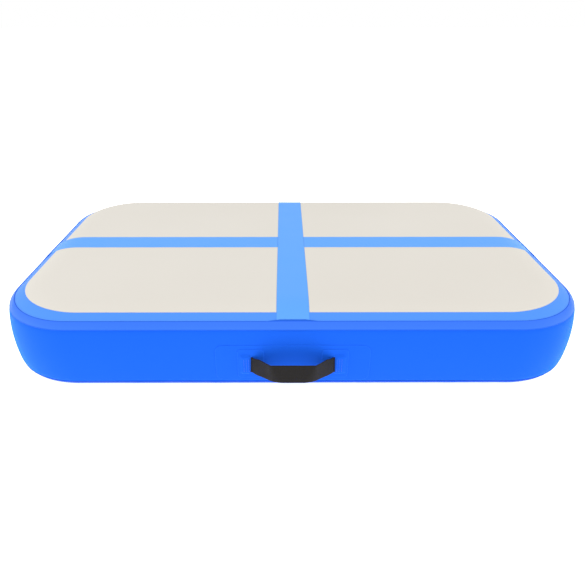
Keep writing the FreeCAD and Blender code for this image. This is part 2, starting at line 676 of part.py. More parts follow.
def make_plunger():
    low = "-Sizes.barrel_depth - Sizes.seat_gap - Sizes.seal - Sizes.clip"
    button_low = "-Sizes.button_depth - Sizes.button"
    corners = [("0", low), ("Sizes.stem", low), ("Sizes.stem", button_low),
               ("Sizes.button_radius", button_low), ("Sizes.button_radius", "-Sizes.button_depth"),
               ("0", "-Sizes.button_depth")]
    keep(valve_turning("valve_plunger", corners), "valve_plunger")
    seal_high = "-Sizes.barrel_depth - Sizes.seat_gap"
    ring("valve_seal_disc", "Sizes.stem", "Sizes.throat + Sizes.seal_lap",
         f"{seal_high} - Sizes.seal", seal_high)
    ring("valve_clip", "Sizes.stem", "Sizes.clip_radius", low, f"{low} + Sizes.clip")
    # a plain tube in the coil's place
    ring("valve_spring", "Sizes.spring_radius - Sizes.spring_wire", "Sizes.spring_radius",
         "-Sizes.web_depth + Sizes.running", f"{button_low} - Sizes.running")


def make_cap():
    plug_low = "Form.cap_base - Sizes.cap_plug_deep"
    plug_inner = "Form.plug_radius - Sizes.cap_plug_wall"
    seal_up = "Form.cap_base - Sizes.cap_plug_deep / 2"
    seal_out = "Sizes.throat - Sizes.running - Sizes.cap_seal"
    groove = f"{seal_out} - Sizes.cap_seal"
    corners = [
        ("0", "Form.cap_top"), ("0", "Form.cap_base"),
        (plug_inner, "Form.cap_base"), (plug_inner, plug_low),
        ("Form.plug_radius", plug_low), ("Form.plug_radius", f"{seal_up} - Sizes.cap_seal"),
        (groove, f"{seal_up} - Sizes.cap_seal"), (groove, f"{seal_up} + Sizes.cap_seal"),
        ("Form.plug_radius", f"{seal_up} + Sizes.cap_seal"), ("Form.plug_radius", "Form.cap_base"),
        ("Form.cap_neck", "Form.cap_base"), ("Form.cap_neck", "Form.cap_neck_top"),
        ("Form.cap_radius", "Form.cap_neck_top"), ("Form.cap_radius", "Form.cap_top - Sizes.rim_round"),
        ("Form.cap_radius - Sizes.rim_round", "Form.cap_top"),
    ]
    body = valve_turning("valve_cap", corners, {13: ("Sizes.rim_round", 1)})
    drill_round(body, "Sizes.cap_scallop", "Form.cap_radius + Sizes.cap_scallop / 2", CAP_SCALLOPS,
                "Form.cap_neck_top", "Form.cap_top")
    keep(body, "valve_cap")
    seal = doc.addObject("Part::Torus", "valve_cap_seal")
    seal.setExpression("Radius1", seal_out)
    seal.setExpression("Radius2", "Sizes.cap_seal")
    keep(at_valve(seal, seal_up), "valve_cap_seal")


def make_tether():
    """A moulded keeper: a ring under the flange, a ring on the cap's neck, and a strap between them."""
    rim, ring_top = "Form.flange_radius + Sizes.tether_rim", "Form.ring_low + Sizes.tether"
    ring("valve_tether_base", "Form.barrel_bore", rim, "Form.ring_base", "Form.flange_base")
    ring("valve_tether_ring", "Form.ring_radius", "Form.ring_radius + Sizes.ring_wall",
         "Form.ring_low", ring_top)
    turn_out = f"({ring_top} - Form.ring_base) / 2"
    turn_in = f"{turn_out} - Sizes.tether"
    bend_x, middle = f"Sizes.tether_reach - {turn_out}", f"({ring_top} + Form.ring_base) / 2"
    start, end = f"{rim} + Sizes.air_gap", "Form.ring_radius + Sizes.ring_wall + Sizes.air_gap"
    corners = [
        (start, "Form.ring_base"), (bend_x, "Form.ring_base"), ("Sizes.tether_reach", middle),
        (bend_x, ring_top), (end, ring_top), (end, "Form.ring_low"), (bend_x, "Form.ring_low"),
        ("Sizes.tether_reach - Sizes.tether", middle),
        (bend_x, "Form.flange_base"), (start, "Form.flange_base"),
    ]
    arcs = {1: (turn_out, 1), 2: (turn_out, 1), 6: (turn_in, -1), 7: (turn_in, -1)}
    body = doc.addObject("PartDesign::Body", "valve_tether_strap")
    pad(body, draw(new_sketch(body, "XZ_Plane"), corners, arcs), "Sizes.tether_width", both_ways=True)
    keep(at_valve(body), "valve_tether_strap")


def make_valve():
    blank = wall_sheet("valve_patch_blank", "Sizes.valve_shift", "Form.valve_patch",
                       "Form.half_height - Form.valve_patch / 2", "Form.half_height + Form.valve_patch / 2",
                       "0", "Sizes.patch")
    disc = doc.addObject("Part::Common", "valve_patch_disc")
    disc.Base = turned(blank, BACK)
    disc.Tool = valve_bar("valve_patch_round", "Form.valve_patch / 2", *THROUGH_WALL)
    hole = valve_bar("valve_patch_hole", "Form.barrel_bore", *THROUGH_WALL)
    keep(cut(disc, hole), "valve_patch")
    make_valve_body()
    ring("valve_gasket", "Form.barrel_bore", "Form.barrel_radius + Sizes.gasket_width",
         "Form.gasket_base", "Form.ring_base")
    nut_low, nut_high = "Form.nut_top - Sizes.nut", "Form.nut_top"
    nut = ring("valve_back_nut", "Form.barrel_bore", "Form.nut_radius", nut_low, nut_high)
    drill_round(nut, "Sizes.nut_scallop", "Form.nut_radius", NUT_SCALLOPS, nut_low, nut_high)
    make_plunger()
    make_cap()
    make_tether()


def make_lap_strip():
    """The strip over the joint where the side band's two ends meet, between the rim tapes."""
    reach = "Form.wall_radius * Form.wall_sin"
    strip = wall_sheet("side_band_lap_strip", "-Sizes.lap_shift", "Sizes.lap_width",
                       f"Form.half_height - {reach}", f"Form.half_height + {reach}", "0", "Sizes.tape")
    keep(turned(strip, BACK), "side_band_lap_strip")


make_skins()
make_side_band()
make_rim_tapes()
make_panels()
make_stripes()
make_threads()
make_lap_strip()
make_handle("front", FRONT)
make_handle("rear", BACK)
make_valve()
doc.recompute()

failed = [thing.Label for thing in doc.Objects if {"Invalid", "Error"} & set(thing.State)]
bad = [piece.Label for piece in kept if piece.Shape.isNull() or not piece.Shape.isValid()
       or piece.Shape.Volume <= 0]
if failed or bad:
    raise RuntimeError(f"failed: {failed}; without a valid solid: {bad}")
os.makedirs("parts", exist_ok=True)
for piece in kept:
    piece.Shape.exportStep(f"parts/{piece.Label}.step")
whole = Part.makeCompound([piece.Shape for piece in kept]).BoundBox
overall = [round(size, 2) for size in (whole.XLength, whole.YLength, whole.ZLength)]
print(len(kept), "sub-parts; overall", overall)
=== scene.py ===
# %% [markdown]
# # An inflatable air track mat
# This file dresses the imported model of an air track mat: a drop-stitch air block with rounded corners,
# cream panels, blue stripes, two webbing handles and an inflation valve.
# Every piece takes its place in the frame, in metres. The chamber's sheets, tapes, stripes, patches and
# stitches ride on the mat's body, and the cap's grips on the cap's body, so each moves with its body.

# %% Load the frame
import math

import bmesh
import bpy
import numpy as np
from mathutils import Matrix, Vector


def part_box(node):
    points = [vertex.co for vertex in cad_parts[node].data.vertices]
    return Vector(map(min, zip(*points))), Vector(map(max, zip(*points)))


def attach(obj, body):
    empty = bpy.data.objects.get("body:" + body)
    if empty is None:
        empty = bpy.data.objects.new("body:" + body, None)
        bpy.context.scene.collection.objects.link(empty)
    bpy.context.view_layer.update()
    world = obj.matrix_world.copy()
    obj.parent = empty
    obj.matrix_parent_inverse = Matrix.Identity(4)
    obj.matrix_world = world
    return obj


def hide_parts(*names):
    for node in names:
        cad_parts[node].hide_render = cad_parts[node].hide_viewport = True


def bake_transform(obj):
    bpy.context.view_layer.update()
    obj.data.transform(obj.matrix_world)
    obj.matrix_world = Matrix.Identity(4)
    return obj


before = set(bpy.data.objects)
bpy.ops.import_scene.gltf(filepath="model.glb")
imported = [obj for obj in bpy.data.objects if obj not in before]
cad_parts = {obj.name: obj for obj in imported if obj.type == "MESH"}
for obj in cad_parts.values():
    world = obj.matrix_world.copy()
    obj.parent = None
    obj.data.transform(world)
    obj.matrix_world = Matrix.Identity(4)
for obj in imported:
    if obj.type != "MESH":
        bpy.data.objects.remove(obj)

scene = bpy.context.scene
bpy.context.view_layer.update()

# %% [markdown]
# ## Camera
# The camera stands a metre in front of the mat and a little over half a metre up, and looks down at it.
# Its lens and its small shift give the mat its foreshortening.

# %% Camera
MM = 0.001

eye = bpy.data.cameras.new("camera")
eye.sensor_width = 36
eye.lens = 33.15
eye.shift_x = 0.0134
eye.shift_y = -0.0062
camera = bpy.data.objects.new("camera", eye)
camera.location = (-0.015, -1.0144, 0.5815)
CAMERA_PITCH = 28.0     # degrees down from level
camera.rotation_euler = (math.radians(90 - CAMERA_PITCH), 0, math.radians(-0.14))
scene.collection.objects.link(camera)
scene.camera = camera
print("camera at", tuple(round(c, 3) for c in camera.location))

# %% [markdown]
# ## Floor and light
# A mat in a catalogue is lit from all round, so that no shadow competes with the shape. An even white
# sky does most of it. Two soft boxes at the ends brighten the rounded corners, where the wall turns
# away, and one overhead box lifts the top above the wall.
# The Standard view keeps the vinyl's blue as strong as the material says; a filmic view greys it.

# %% Floor and light
scene.view_settings.view_transform = "Standard"

sky = bpy.data.worlds.new("studio")
sky.use_nodes = True
sky.node_tree.nodes["Background"].inputs["Color"].default_value = (1, 1, 1, 1)
sky.node_tree.nodes["Background"].inputs["Strength"].default_value = 1.0
scene.world = sky


def soft_box(name, place, target, size, watts):
    """A rectangular area light that faces its target."""
    lamp = bpy.data.lights.new(name, "AREA")
    lamp.shape = "RECTANGLE"
    lamp.size, lamp.size_y = size
    lamp.energy = watts
    light = bpy.data.objects.new(name, lamp)
    light.location = place
    light.rotation_euler = (Vector(target) - Vector(place)).to_track_quat("-Z", "Y").to_euler()
    scene.collection.objects.link(light)


MIDDLE = (0, 0, 0.08)
soft_box("left_box", (-2.2, -0.6, 0.9), MIDDLE, (1.2, 1.4), 9)
soft_box("right_box", (2.2, -0.6, 0.9), MIDDLE, (1.2, 1.4), 9)
soft_box("overhead_box", (0, 0.2, 2.6), MIDDLE, (2.4, 1.6), 5)

FLOOR_REACH = 14
floor_corners = [(x * FLOOR_REACH, y * FLOOR_REACH, 0) for x, y in ((-1, -1), (1, -1), (1, 1), (-1, 1))]
floor_mesh = bpy.data.meshes.new("floor")
floor_mesh.from_pydata(floor_corners, [], [range(4)])
floor = bpy.data.objects.new("floor", floor_mesh)
scene.collection.objects.link(floor)

# %% [markdown]
# ## Colours and nodes
# A colour is easiest to read as an sRGB hex value, but shaders work in linear light, so one function
# turns the first into the second. One more adds a node: it sets the node's own options, then each input,
# which is linked when it is given a socket and set when it is given a number.

# %% Colour and node helpers
def linear(code, alpha=1.0):
    """An sRGB hex colour, such as 2D292A, in linear light."""
    parts = [int(code[i:i + 2], 16) / 255 for i in (0, 2, 4)]
    light = [c / 12.92 if c <= 0.04045 else ((c + 0.055) / 1.055) ** 2.4 for c in parts]
    return (*light, alpha)


def add(tree, kind, inputs=None, **options):
    """Add a node to a tree, with its options, and its inputs by name or number."""
    node = tree.nodes.new(kind)
    for name, option in options.items():
        setattr(node, name, option)
    for key, given in (inputs or {}).items():
        if isinstance(given, bpy.types.NodeSocket):
            tree.links.new(given, node.inputs[key])
        else:
            node.inputs[key].default_value = given
    return node


def start_material(name, **sockets):
    """A material with one Principled shader. The sockets given here are the same all over the surface."""
    material = bpy.data.materials.new(name)
    material.use_nodes = True
    shader = material.node_tree.nodes["Principled BSDF"]
    for socket, given in sockets.items():
        shader.inputs[socket.replace("_", " ")].default_value = given
    return material, material.node_tree, shader


# %% [markdown]
# ## Coated fabric
# The chamber is PVC-coated polyester. Its cloth is a plain weave of about nine threads to the
# centimetre, and the vinyl over it leaves only a trace of that grid, with a soft satin gloss.
# The weave is two crossed waves on the piece's own UV map, which is laid out in metres, so the threads
# follow the cloth round the corners. The real spacing is too fine to show, so it is drawn at twice
# that. A broad, faint noise keeps the colour from being perfectly even.

# %% Coated fabric materials
WEAVE = 2.2 * MM            # thread spacing, drawn coarser than the real 1.1 mm
WAVE_PERIOD = math.tau / 20     # a wave texture at scale 1 repeats after this length
DRIFT = 350 * MM            # how broad the clouds of uneven colour are
GLOSS_CLOUDS = 14.0         # clouds of uneven gloss to the metre


def weave_height(tree, spacing):
    """The height of a plain weave on the UV map, from 0 to 1."""
    flat = add(tree, "ShaderNodeTexCoord").outputs["UV"]
    waves = [
        add(tree, "ShaderNodeTexWave", {"Vector": flat, "Scale": WAVE_PERIOD / spacing},
            bands_direction=direction).outputs["Fac"]
        for direction in "XY"
    ]
    return add(tree, "ShaderNodeMath", {0: waves[0], 1: waves[1]}, operation="MULTIPLY").outputs[0]


def mottled(tree, light, dark, size, detail=2.0):
    """A colour that drifts between two hex values over patches of a given size."""
    place = add(tree, "ShaderNodeTexCoord").outputs["Object"]
    noise = add(tree, "ShaderNodeTexNoise", {"Vector": place, "Scale": 1 / size, "Detail": detail})
    mix = add(tree, "ShaderNodeMix", {0: noise.outputs["Fac"], 6: linear(light), 7: linear(dark)},
              data_type="RGBA")
    return mix.outputs[2]


def coated_fabric(name, light, dark, edge, roughness, gloss_drift=0.08, depth=0.04 * MM, spacing=WEAVE,
                  **sockets):
    """Satin PVC over a plain weave. Where a sheet's edge is marked, it turns to the edge colour: a paler
    painted highlight on the wall's patches, anchors and strip, a darker painted shade line on the rim tapes,
    and a slightly darker rim on the stripes and cream panels.
    """
    material, tree, shader = start_material(name, IOR=1.53, **sockets)
    face = mottled(tree, light, dark, DRIFT)
    rolled = add(tree, "ShaderNodeAttribute", attribute_name="edge").outputs["Fac"]
    body = add(tree, "ShaderNodeMix", {0: rolled, 6: face, 7: linear(edge)}, data_type="RGBA")
    tree.links.new(body.outputs[2], shader.inputs["Base Color"])
    place = add(tree, "ShaderNodeTexCoord").outputs["Object"]
    cloudy = add(tree, "ShaderNodeTexNoise", {"Vector": place, "Scale": GLOSS_CLOUDS})
    gloss = add(tree, "ShaderNodeMapRange",
                {"Value": cloudy.outputs["Fac"], "To Min": roughness - gloss_drift,
                 "To Max": roughness + gloss_drift})
    tree.links.new(gloss.outputs[0], shader.inputs["Roughness"])
    bump = add(tree, "ShaderNodeBump", {"Height": weave_height(tree, spacing), "Distance": depth,
                                        "Strength": 0.6})
    tree.links.new(bump.outputs[0], shader.inputs["Normal"])
    return material


# calendered PVC tarpaulin, dyed through: a deep even blue with a satin sheen that turns to cyan where
# the wall curves away; a patch's rolled edge is painted a little paler, a painted highlight along it
royal_pvc = coated_fabric("calendered PVC tarpaulin, royal blue", "1B61E4", "175DDF", "2066E6", 0.5,
                          Specular_IOR_Level=0.03, Sheen_Weight=0.6, Sheen_Roughness=0.35,
                          Sheen_Tint=linear("10B4FF"))
# the rim's tape is thinner sheet that is heat-welded on, so it is paler; its edges are painted darker, a
# painted shade line along each edge
tape_pvc = coated_fabric("welded PVC tape, mid blue", "3C76F1", "356FEC", "2060DA", 0.42,
                         Specular_IOR_Level=0.08, Sheen_Weight=0.15, Sheen_Roughness=0.35,
                         Sheen_Tint=linear("10B4FF"))
# the tape round the base is the wall's own deep blue, made a little darker as painted shade where the wall
# curves under, and its edges a still darker painted shade line
base_tape_pvc = coated_fabric("welded PVC tape, deep blue", "0E53D2", "0B4EC8", "0E49BC", 0.5,
                              Specular_IOR_Level=0.1)
# the top's blue is a lacquered print on white cloth, so it is paler than the dyed wall
print_blue = coated_fabric("lacquer-printed PVC, mid sky blue", "5393F4", "4E8DEF", "4E8EEE", 0.46,
                           Specular_IOR_Level=0.08)
# the stripes are printed tape of the same sort as the border, drawn a lighter blue: painted light, since the
# border of the same print looks darker only where it slopes away on the crown
stripe_pvc = coated_fabric("lacquer-printed PVC, light sky blue", "60A4F5", "5B9FF1", "569AEC", 0.46,
                           Specular_IOR_Level=0.1)
# the cream is a matt, slightly chalky anti-slip coat that hides most of the weave
cream_coat = coated_fabric("anti-slip PVC coat, cream", "D9D5CD", "D3CEC5", "CFC9C2", 0.72, gloss_drift=0.05,
                           depth=0.06 * MM, spacing=3 * MM, Specular_IOR_Level=0.3)
# the underside rubs on floors, so it is a rougher grade of the same dyed cloth
base_pvc = coated_fabric("non-slip PVC tarpaulin, royal blue", "0A5FE2", "0858D4", "1F6CEC", 0.6,
                         Specular_IOR_Level=0.2)
print("fabrics:", royal_pvc.name, "|", cream_coat.name)

# %% [markdown]
# ## Webbing, thread, plastic and rubber
# The handle is matt black polypropylene webbing. Its ribs are real geometry, made with the strap below,
# and the material adds only the finer fibres. The valve is moulded: a grey ABS body and cap, black
# rubber seals and a flexible keeper, with the fine spark-eroded grain of a mould.

# %% Webbing and moulded materials
SPECKLE = 20 * MM           # the size of the faint unevenness of a moulded colour


def grained(name, light, dark, roughness, grain, depth, **sockets):
    """A moulded or spun surface: a mottled colour with a fine random grain."""
    material, tree, shader = start_material(name, Roughness=roughness, **sockets)
    tree.links.new(mottled(tree, light, dark, SPECKLE, detail=4.0), shader.inputs["Base Color"])
    place = add(tree, "ShaderNodeTexCoord").outputs["Object"]
    noise = add(tree, "ShaderNodeTexNoise", {"Vector": place, "Scale": 1 / grain, "Detail": 3.0})
    bump = add(tree, "ShaderNodeBump", {"Height": noise.outputs["Fac"], "Distance": depth, "Strength": 0.5})
    tree.links.new(bump.outputs[0], shader.inputs["Normal"])
    return material


# woven polypropylene webbing: matt black with a dusty edge to the fibres
webbing_black = grained("polypropylene webbing, black", "1A1716", "151211", 0.82, 0.7 * MM, 0.08 * MM,
                        IOR=1.49, Specular_IOR_Level=0.3, Sheen_Weight=0.04, Sheen_Roughness=0.5)
# bonded polyester sewing thread: smoother than the webbing, so it catches small highlights
thread_blue = grained("bonded polyester thread, blue", "0C62EA", "0858D8", 0.45, 0.4 * MM, 0.05 * MM,
                      IOR=1.55)
# injection-moulded ABS with a spark-eroded grain
abs_grey = grained("moulded ABS, dark grey", "3A3D42", "303338", 0.48, 0.5 * MM, 0.04 * MM, IOR=1.54)
abs_pale = grained("moulded acetal, light grey", "B9BDC2", "ADB1B6", 0.4, 0.5 * MM, 0.03 * MM, IOR=1.48)
# compression-moulded EPDM seals: nearly black and dull
epdm_black = grained("EPDM rubber, black", "232323", "1A1A1A", 0.75, 0.3 * MM, 0.04 * MM, IOR=1.52)
# flexible TPE keeper: a soft sheen between rubber and plastic
tpe_grey = grained("flexible TPE, dark grey", "2E3135", "26292D", 0.6, 0.6 * MM, 0.04 * MM, IOR=1.5)
# white polyester drop-stitch yarn
yarn_white = grained("polyester drop-stitch yarn, white", "E8E8E4", "D8D8D4", 0.7, 0.4 * MM, 0.05 * MM,
                     IOR=1.55)
# drawn stainless spring wire: clean metal with faint drawing lines
spring_wire = grained("drawn stainless wire", "C8C8C4", "B4B4B0", 0.25, 0.3 * MM, 0.01 * MM, Metallic=1.0)
# backlit studio table: white opal acrylic, matt, which glows enough to wash out a shadow
floor_white = grained("backlit opal acrylic", "F8F8F8", "F6F6F6", 0.9, 2 * MM, 0.01 * MM, IOR=1.49,
                      Emission_Color=(1, 1, 1, 1), Emission_Strength=0.85)
floor.data.materials.append(floor_white)
print("materials:", len(bpy.data.materials))

# %% [markdown]
# ## The chamber's surface, as mathematics
# Every soft part of the mat lies on one surface, so it is described once. A point's outward distance is
# how far it is from the core rectangle that the corners turn round. Across the edge the flat top runs
# into a wide crown, then a tight shoulder, then a wall that bulges a little because of the air behind
# it. A piece is drawn flat first, then laid on this surface at its own lift.

# %% Surface of the chamber
HALF_LONG_FACE = 0.5            # the walls at mid height, from the centre line
HALF_WIDE_FACE = 0.3
HEIGHT = 0.15
CORNER = 0.14                   # plan radius of the four corners
CROWN_R, SHOULDER_R = 0.11, 0.026
CROWN_ANGLE, WALL_ANGLE = math.radians(60), math.radians(9)

core_x = HALF_LONG_FACE - CORNER
core_y = HALF_WIDE_FACE - CORNER
half_height = HEIGHT / 2
WALL_R = (half_height - CROWN_R * (1 - math.sin(CROWN_ANGLE))
          - SHOULDER_R * (math.sin(CROWN_ANGLE) - math.sin(WALL_ANGLE))) / math.sin(WALL_ANGLE)
wall_out = CORNER - WALL_R
shoulder_out = wall_out + (WALL_R - SHOULDER_R) * math.cos(WALL_ANGLE)
shoulder_up = half_height + (WALL_R - SHOULDER_R) * math.sin(WALL_ANGLE)
crown_out = shoulder_out - (CROWN_R - SHOULDER_R) * math.cos(CROWN_ANGLE)
crown_up = shoulder_up - (CROWN_R - SHOULDER_R) * math.sin(CROWN_ANGLE)


def rim_point(angle, lift=0.0):
    """(outward, up) of the edge where its normal is tilted up by an angle, above mid height."""
    if angle < WALL_ANGLE:
        centre, radius = (wall_out, half_height), WALL_R
    elif angle < CROWN_ANGLE:
        centre, radius = (shoulder_out, shoulder_up), SHOULDER_R
    else:
        centre, radius = (crown_out, crown_up), CROWN_R
    return (centre[0] + (radius + lift) * math.cos(angle), centre[1] + (radius + lift) * math.sin(angle))


crown_edge = rim_point(CROWN_ANGLE)[0]


def on_top(u, v, lift):
    """A flat-drawn point laid on the top."""
    dx, dy = max(abs(u) - core_x, 0), max(abs(v) - core_y, 0)
    out = math.hypot(dx, dy)
    if out <= crown_out:
        return Vector((u, v, HEIGHT + lift))
    if out <= crown_edge:
        angle = max(math.acos((out - crown_out) / CROWN_R), CROWN_ANGLE)
    else:
        angle = math.acos(min((out - shoulder_out) / SHOULDER_R, 1))
    reach, up = rim_point(angle, lift)
    nx, ny = math.copysign(dx / out, u), math.copysign(dy / out, v)
    return Vector((u + nx * (reach - out), v + ny * (reach - out), up))


def on_underside(u, v, lift):
    """The same, on the underside."""
    p = on_top(u, v, lift)
    return Vector((p.x, p.y, HEIGHT - p.z))


def on_wall(u, v, lift, side=1):
    """A point at u along and v up, laid on the front wall (side 1), or on the back wall (side -1)."""
    rise = v - half_height
    reach = WALL_R * math.sin(WALL_ANGLE)
    if abs(rise) <= reach:
        angle = math.asin(rise / WALL_R)
    else:
        drop = (abs(rise) - (shoulder_up - half_height)) / SHOULDER_R
        angle = math.copysign(math.asin(min(drop, 1)), rise)
    out, up = rim_point(abs(angle), lift)
    up = up if rise >= 0 else HEIGHT - up
    return Vector((side * u, -side * (core_y + out), up))


print("wall radius", round(WALL_R, 4), "shoulder at", round(shoulder_out, 4), round(shoulder_up, 4))

# %% [markdown]
# ## Making meshes
# Three makers cover the soft pieces. A patch is drawn as a flat outline with a rolled edge, cut into a
# grid and then laid on a surface, so it bends with it. A band is a section carried round the whole edge.
# A sweep joins rows of points along a path. Each is closed, with its normals outwards, and each fabric
# gets a UV map in metres, which its weave uses.

# %% Mesh makers
STEP = 3            # degrees between points on a rounded corner
SMALL_STEPS = 8         # points on a corner that is too small for that
SMALL_CORNER = 20 * MM
GRID = 10 * MM


def placed(name, mesh):
    """An object for a mesh, in the scene."""
    piece = bpy.data.objects.new(name, mesh)
    scene.collection.objects.link(piece)
    return piece


def to_mesh(name, bm, material=None):
    """Turn a bmesh into a mesh with outward normals and smooth shading."""
    bmesh.ops.recalc_face_normals(bm, faces=bm.faces)
    for face in bm.faces:
        face.smooth = True
    mesh = bpy.data.meshes.new(name)
    bm.to_mesh(mesh)
    bm.free()
    if material:
        mesh.materials.append(material)
    return mesh


def finish_mesh(name, bm, material=None):
    """The same, as an object in the scene."""
    return placed(name, to_mesh(name, bm, material))


def modified(piece):
    """A piece's mesh with its modifiers applied."""
    bpy.context.view_layer.update()
    return bpy.data.meshes.new_from_object(piece.evaluated_get(bpy.context.evaluated_depsgraph_get()))


def settle(piece, body, slot, *nodes):
    """Say which body a piece moves with and which solids it stands for; slot is not used."""
    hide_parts(*nodes)
    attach(piece, body)
    return piece


def rounded(u0, u1, v0, v1, radii, inset=0.0):
    """A rectangle with its own radius at each corner, counter-clockwise from the lower left, drawn in by
    inset. It has the same number of points whatever the inset."""
    points = []
    corners = ((u0, v0, 1, 1, 180), (u1, v0, -1, 1, 270), (u1, v1, -1, -1, 0), (u0, v1, 1, -1, 90))
    for (cu, cv, su, sv, start), radius in zip(corners, radii):
        r = max(radius - inset, 0.05 * MM)
        centre = (cu + su * (inset + r), cv + sv * (inset + r))
        count = int(90 / STEP) if radius > SMALL_CORNER else SMALL_STEPS
        for k in range(count + 1):
            a = math.radians(start + 90 * k / count)
            points.append((centre[0] + r * math.cos(a), centre[1] + r * math.sin(a)))
    return points


def plate(u0, u1, v0, v1, radius):
    """The outline of a rectangle with the same radius all round, as a function of its inset."""
    return lambda inset: rounded(u0, u1, v0, v1, [radius] * 4, inset)


def disc(u, v, radius, count=96):
    """A round outline, as a function of its inset."""
    turns = [(math.cos(math.tau * k / count), math.sin(math.tau * k / count)) for k in range(count)]
    return lambda inset: [(u + (radius - inset) * x, v + (radius - inset) * y) for x, y in turns]


def rolled_edge(thick, count=3):
    """Up from the foot of a sheet's edge and over onto its face, as (inset, lift, whether it is edge)."""
    roll = 0.8 * thick
    rings = [(0, 0, 0)]
    for k in range(count + 1):
        a = math.pi / 2 * k / count
        rings.append((roll * (1 - math.cos(a)), thick - roll + roll * math.sin(a), 1))
    rings.append((roll + 0.4 * MM, thick, 0))
    return rings


def patch(name, outline, rings, lay, material, hole=None, grid=GRID, relief=None):
    """A closed sheet laid on a surface. outline and hole give points for an inset, and rings go from the
    underside, over the edge, onto the face."""
    bm = bmesh.new()
    marks = bm.verts.layers.float.new("edge")
    ends = []
    for shape, sign in ((outline, 1), (hole, -1)):
        if not shape:
            continue
        loops = []
        for inset, lift, edge in rings:
            loops.append([bm.verts.new((u, v, lift)) for u, v in shape(sign * inset)])
            for vert in loops[-1]:
                vert[marks] = edge
        for lower, upper in zip(loops, loops[1:]):
            for k in range(len(lower)):
                bm.faces.new((lower[k - 1], lower[k], upper[k], upper[k - 1]))
        ends.append((loops[0], loops[-1]))
    for level in zip(*ends):
        if hole:
            edges = [bm.edges.get((loop[k - 1], loop[k])) for loop in level for k in range(len(loop))]
            bmesh.ops.triangle_fill(bm, edges=edges, use_beauty=True)
        else:
            bm.faces.new(level[0])
    for axis in (0, 1):
        reach = [vert.co[axis] for vert in bm.verts]
        for k in range(math.ceil(min(reach) / grid), math.floor(max(reach) / grid) + 1):
            at, facing = [0, 0, 0], [0, 0, 0]
            at[axis], facing[axis] = k * grid, 1
            bmesh.ops.bisect_plane(bm, geom=bm.verts[:] + bm.edges[:] + bm.faces[:], dist=1e-7,
                                   plane_co=at, plane_no=facing)
    cloth = bm.loops.layers.uv.new("cloth")
    for face in bm.faces:
        for loop in face.loops:
            loop[cloth].uv = loop.vert.co.xy
    for vert in bm.verts:
        u, v, lift = vert.co
        if relief and lift > 0:
            lift += relief(u, v)
        vert.co = lay(u, v, lift)
    return finish_mesh(name, bm, material)


def stations(step=20 * MM):
    """Places round the core rectangle: a point, the way out from it, and how far round it is."""
    places = []
    run = 0.0
    sides = ((1, -1, 270), (1, 1, 0), (-1, 1, 90), (-1, -1, 180))
    for i, (sx, sy, start) in enumerate(sides):
        corner = Vector((sx * core_x, sy * core_y))
        for k in range(int(90 / STEP) + 1):
            a = math.radians(start + k * STEP)
            places.append((corner, Vector((math.cos(a), math.sin(a))), run + CORNER * math.radians(k * STEP)))
        run += CORNER * math.pi / 2
        after = sides[(i + 1) % 4]
        reach = Vector((after[0] * core_x, after[1] * core_y)) - corner
        out = places[-1][1]
        count = int(reach.length / step)
        for k in range(1, count):
            places.append((corner + reach * k / count, out, run + reach.length * k / count))
        run += reach.length
    return places, run


def band(name, section, material):
    """Carry a closed section round the edge. section gives, for a share of the way round, a list of
    (slope in degrees, lift, whether it takes the edge colour); a slope below zero is under mid height. On
    the rim tapes the edge colour is a darker painted shade line."""
    places, length = stations()
    bm = bmesh.new()
    cloth = bm.loops.layers.uv.new("cloth")
    marks = bm.verts.layers.float.new("edge")
    rows = []
    for corner, out, run in places:
        row, along, before = [], 0.0, None
        for slope, lift, cut in section(run / length):
            reach, up = rim_point(math.radians(abs(slope)), lift)
            up = up if slope >= 0 else HEIGHT - up
            along += math.dist((reach, up), before) if before else 0.0
            before = (reach, up)
            vert = bm.verts.new((*(corner + out * reach), up))
            vert[marks] = cut
            row.append((vert, (run, along)))
        rows.append(row)
    for i, row in enumerate(rows):
        after = rows[(i + 1) % len(rows)]
        for j in range(len(row)):
            j1 = (j + 1) % len(row)
            face = bm.faces.new((row[j][0], after[j][0], after[j1][0], row[j1][0]))
            uvs = [row[j][1], after[j][1], after[j1][1], row[j1][1]]
            if i + 1 == len(rows):
                uvs[1:3] = [(length, uvs[1][1]), (length, uvs[2][1])]
            for loop, uv in zip(face.loops, uvs):
                loop[cloth].uv = uv
    return finish_mesh(name, bm, material)


def steps(first, last, count):
    """Evenly spaced numbers from first to last, with both."""
    return [first + (last - first) * k / count for k in range(count + 1)]


def sweep(name, rows, material, flat=None):
    """A closed sweep through rows of points, with its ends capped. flat gives point j of row i its UV."""
    bm = bmesh.new()
    cloth = bm.loops.layers.uv.new("cloth") if flat else None
    rows = [[bm.verts.new(point) for point in row] for row in rows]
    for i, (row, after) in enumerate(zip(rows, rows[1:])):
        for j in range(len(row)):
            j1 = (j + 1) % len(row)
            face = bm.faces.new((row[j], after[j], after[j1], row[j1]))
            if flat:
                for loop, (k, jj) in zip(face.loops, ((i, j), (i + 1, j), (i + 1, j1), (i, j1))):
                    loop[cloth].uv = flat(k, jj)
    bm.faces.new(rows[0])
    bm.faces.new(rows[-1])
    return finish_mesh(name, bm, material)


print("grid", GRID, "stations", len(stations()[0]))

# %% [markdown]
# ## Side wall and skins
# The wall is one sheet, bent between the two skins, with a hole for the valve. Welded vinyl never comes
# out perfectly even, so it carries slow ripples a few tenths of a millimetre deep. The two skins are cut
# to the same outline as the wall's edges and lie over the crown.

# %% Side wall and skins
SKIN = 1.0 * MM
SEAM_ANGLE = 45
SKIN_STEP = 3               # degrees between a skin's rings where it bends
VALVE_X = -280 * MM         # the valve's place on the back wall
BARREL = 13.6 * MM          # the radius of the hole that its barrel goes through


def ripple(turn):
    """Slow unevenness of the wall, in whole waves round the mat so that it closes on itself."""
    return 0.18 * MM * sum(math.sin(math.tau * n * turn + phase) / weight
                           for n, phase, weight in ((7, 0.4, 1.0), (13, 2.1, 1.6), (29, 4.0, 2.6)))


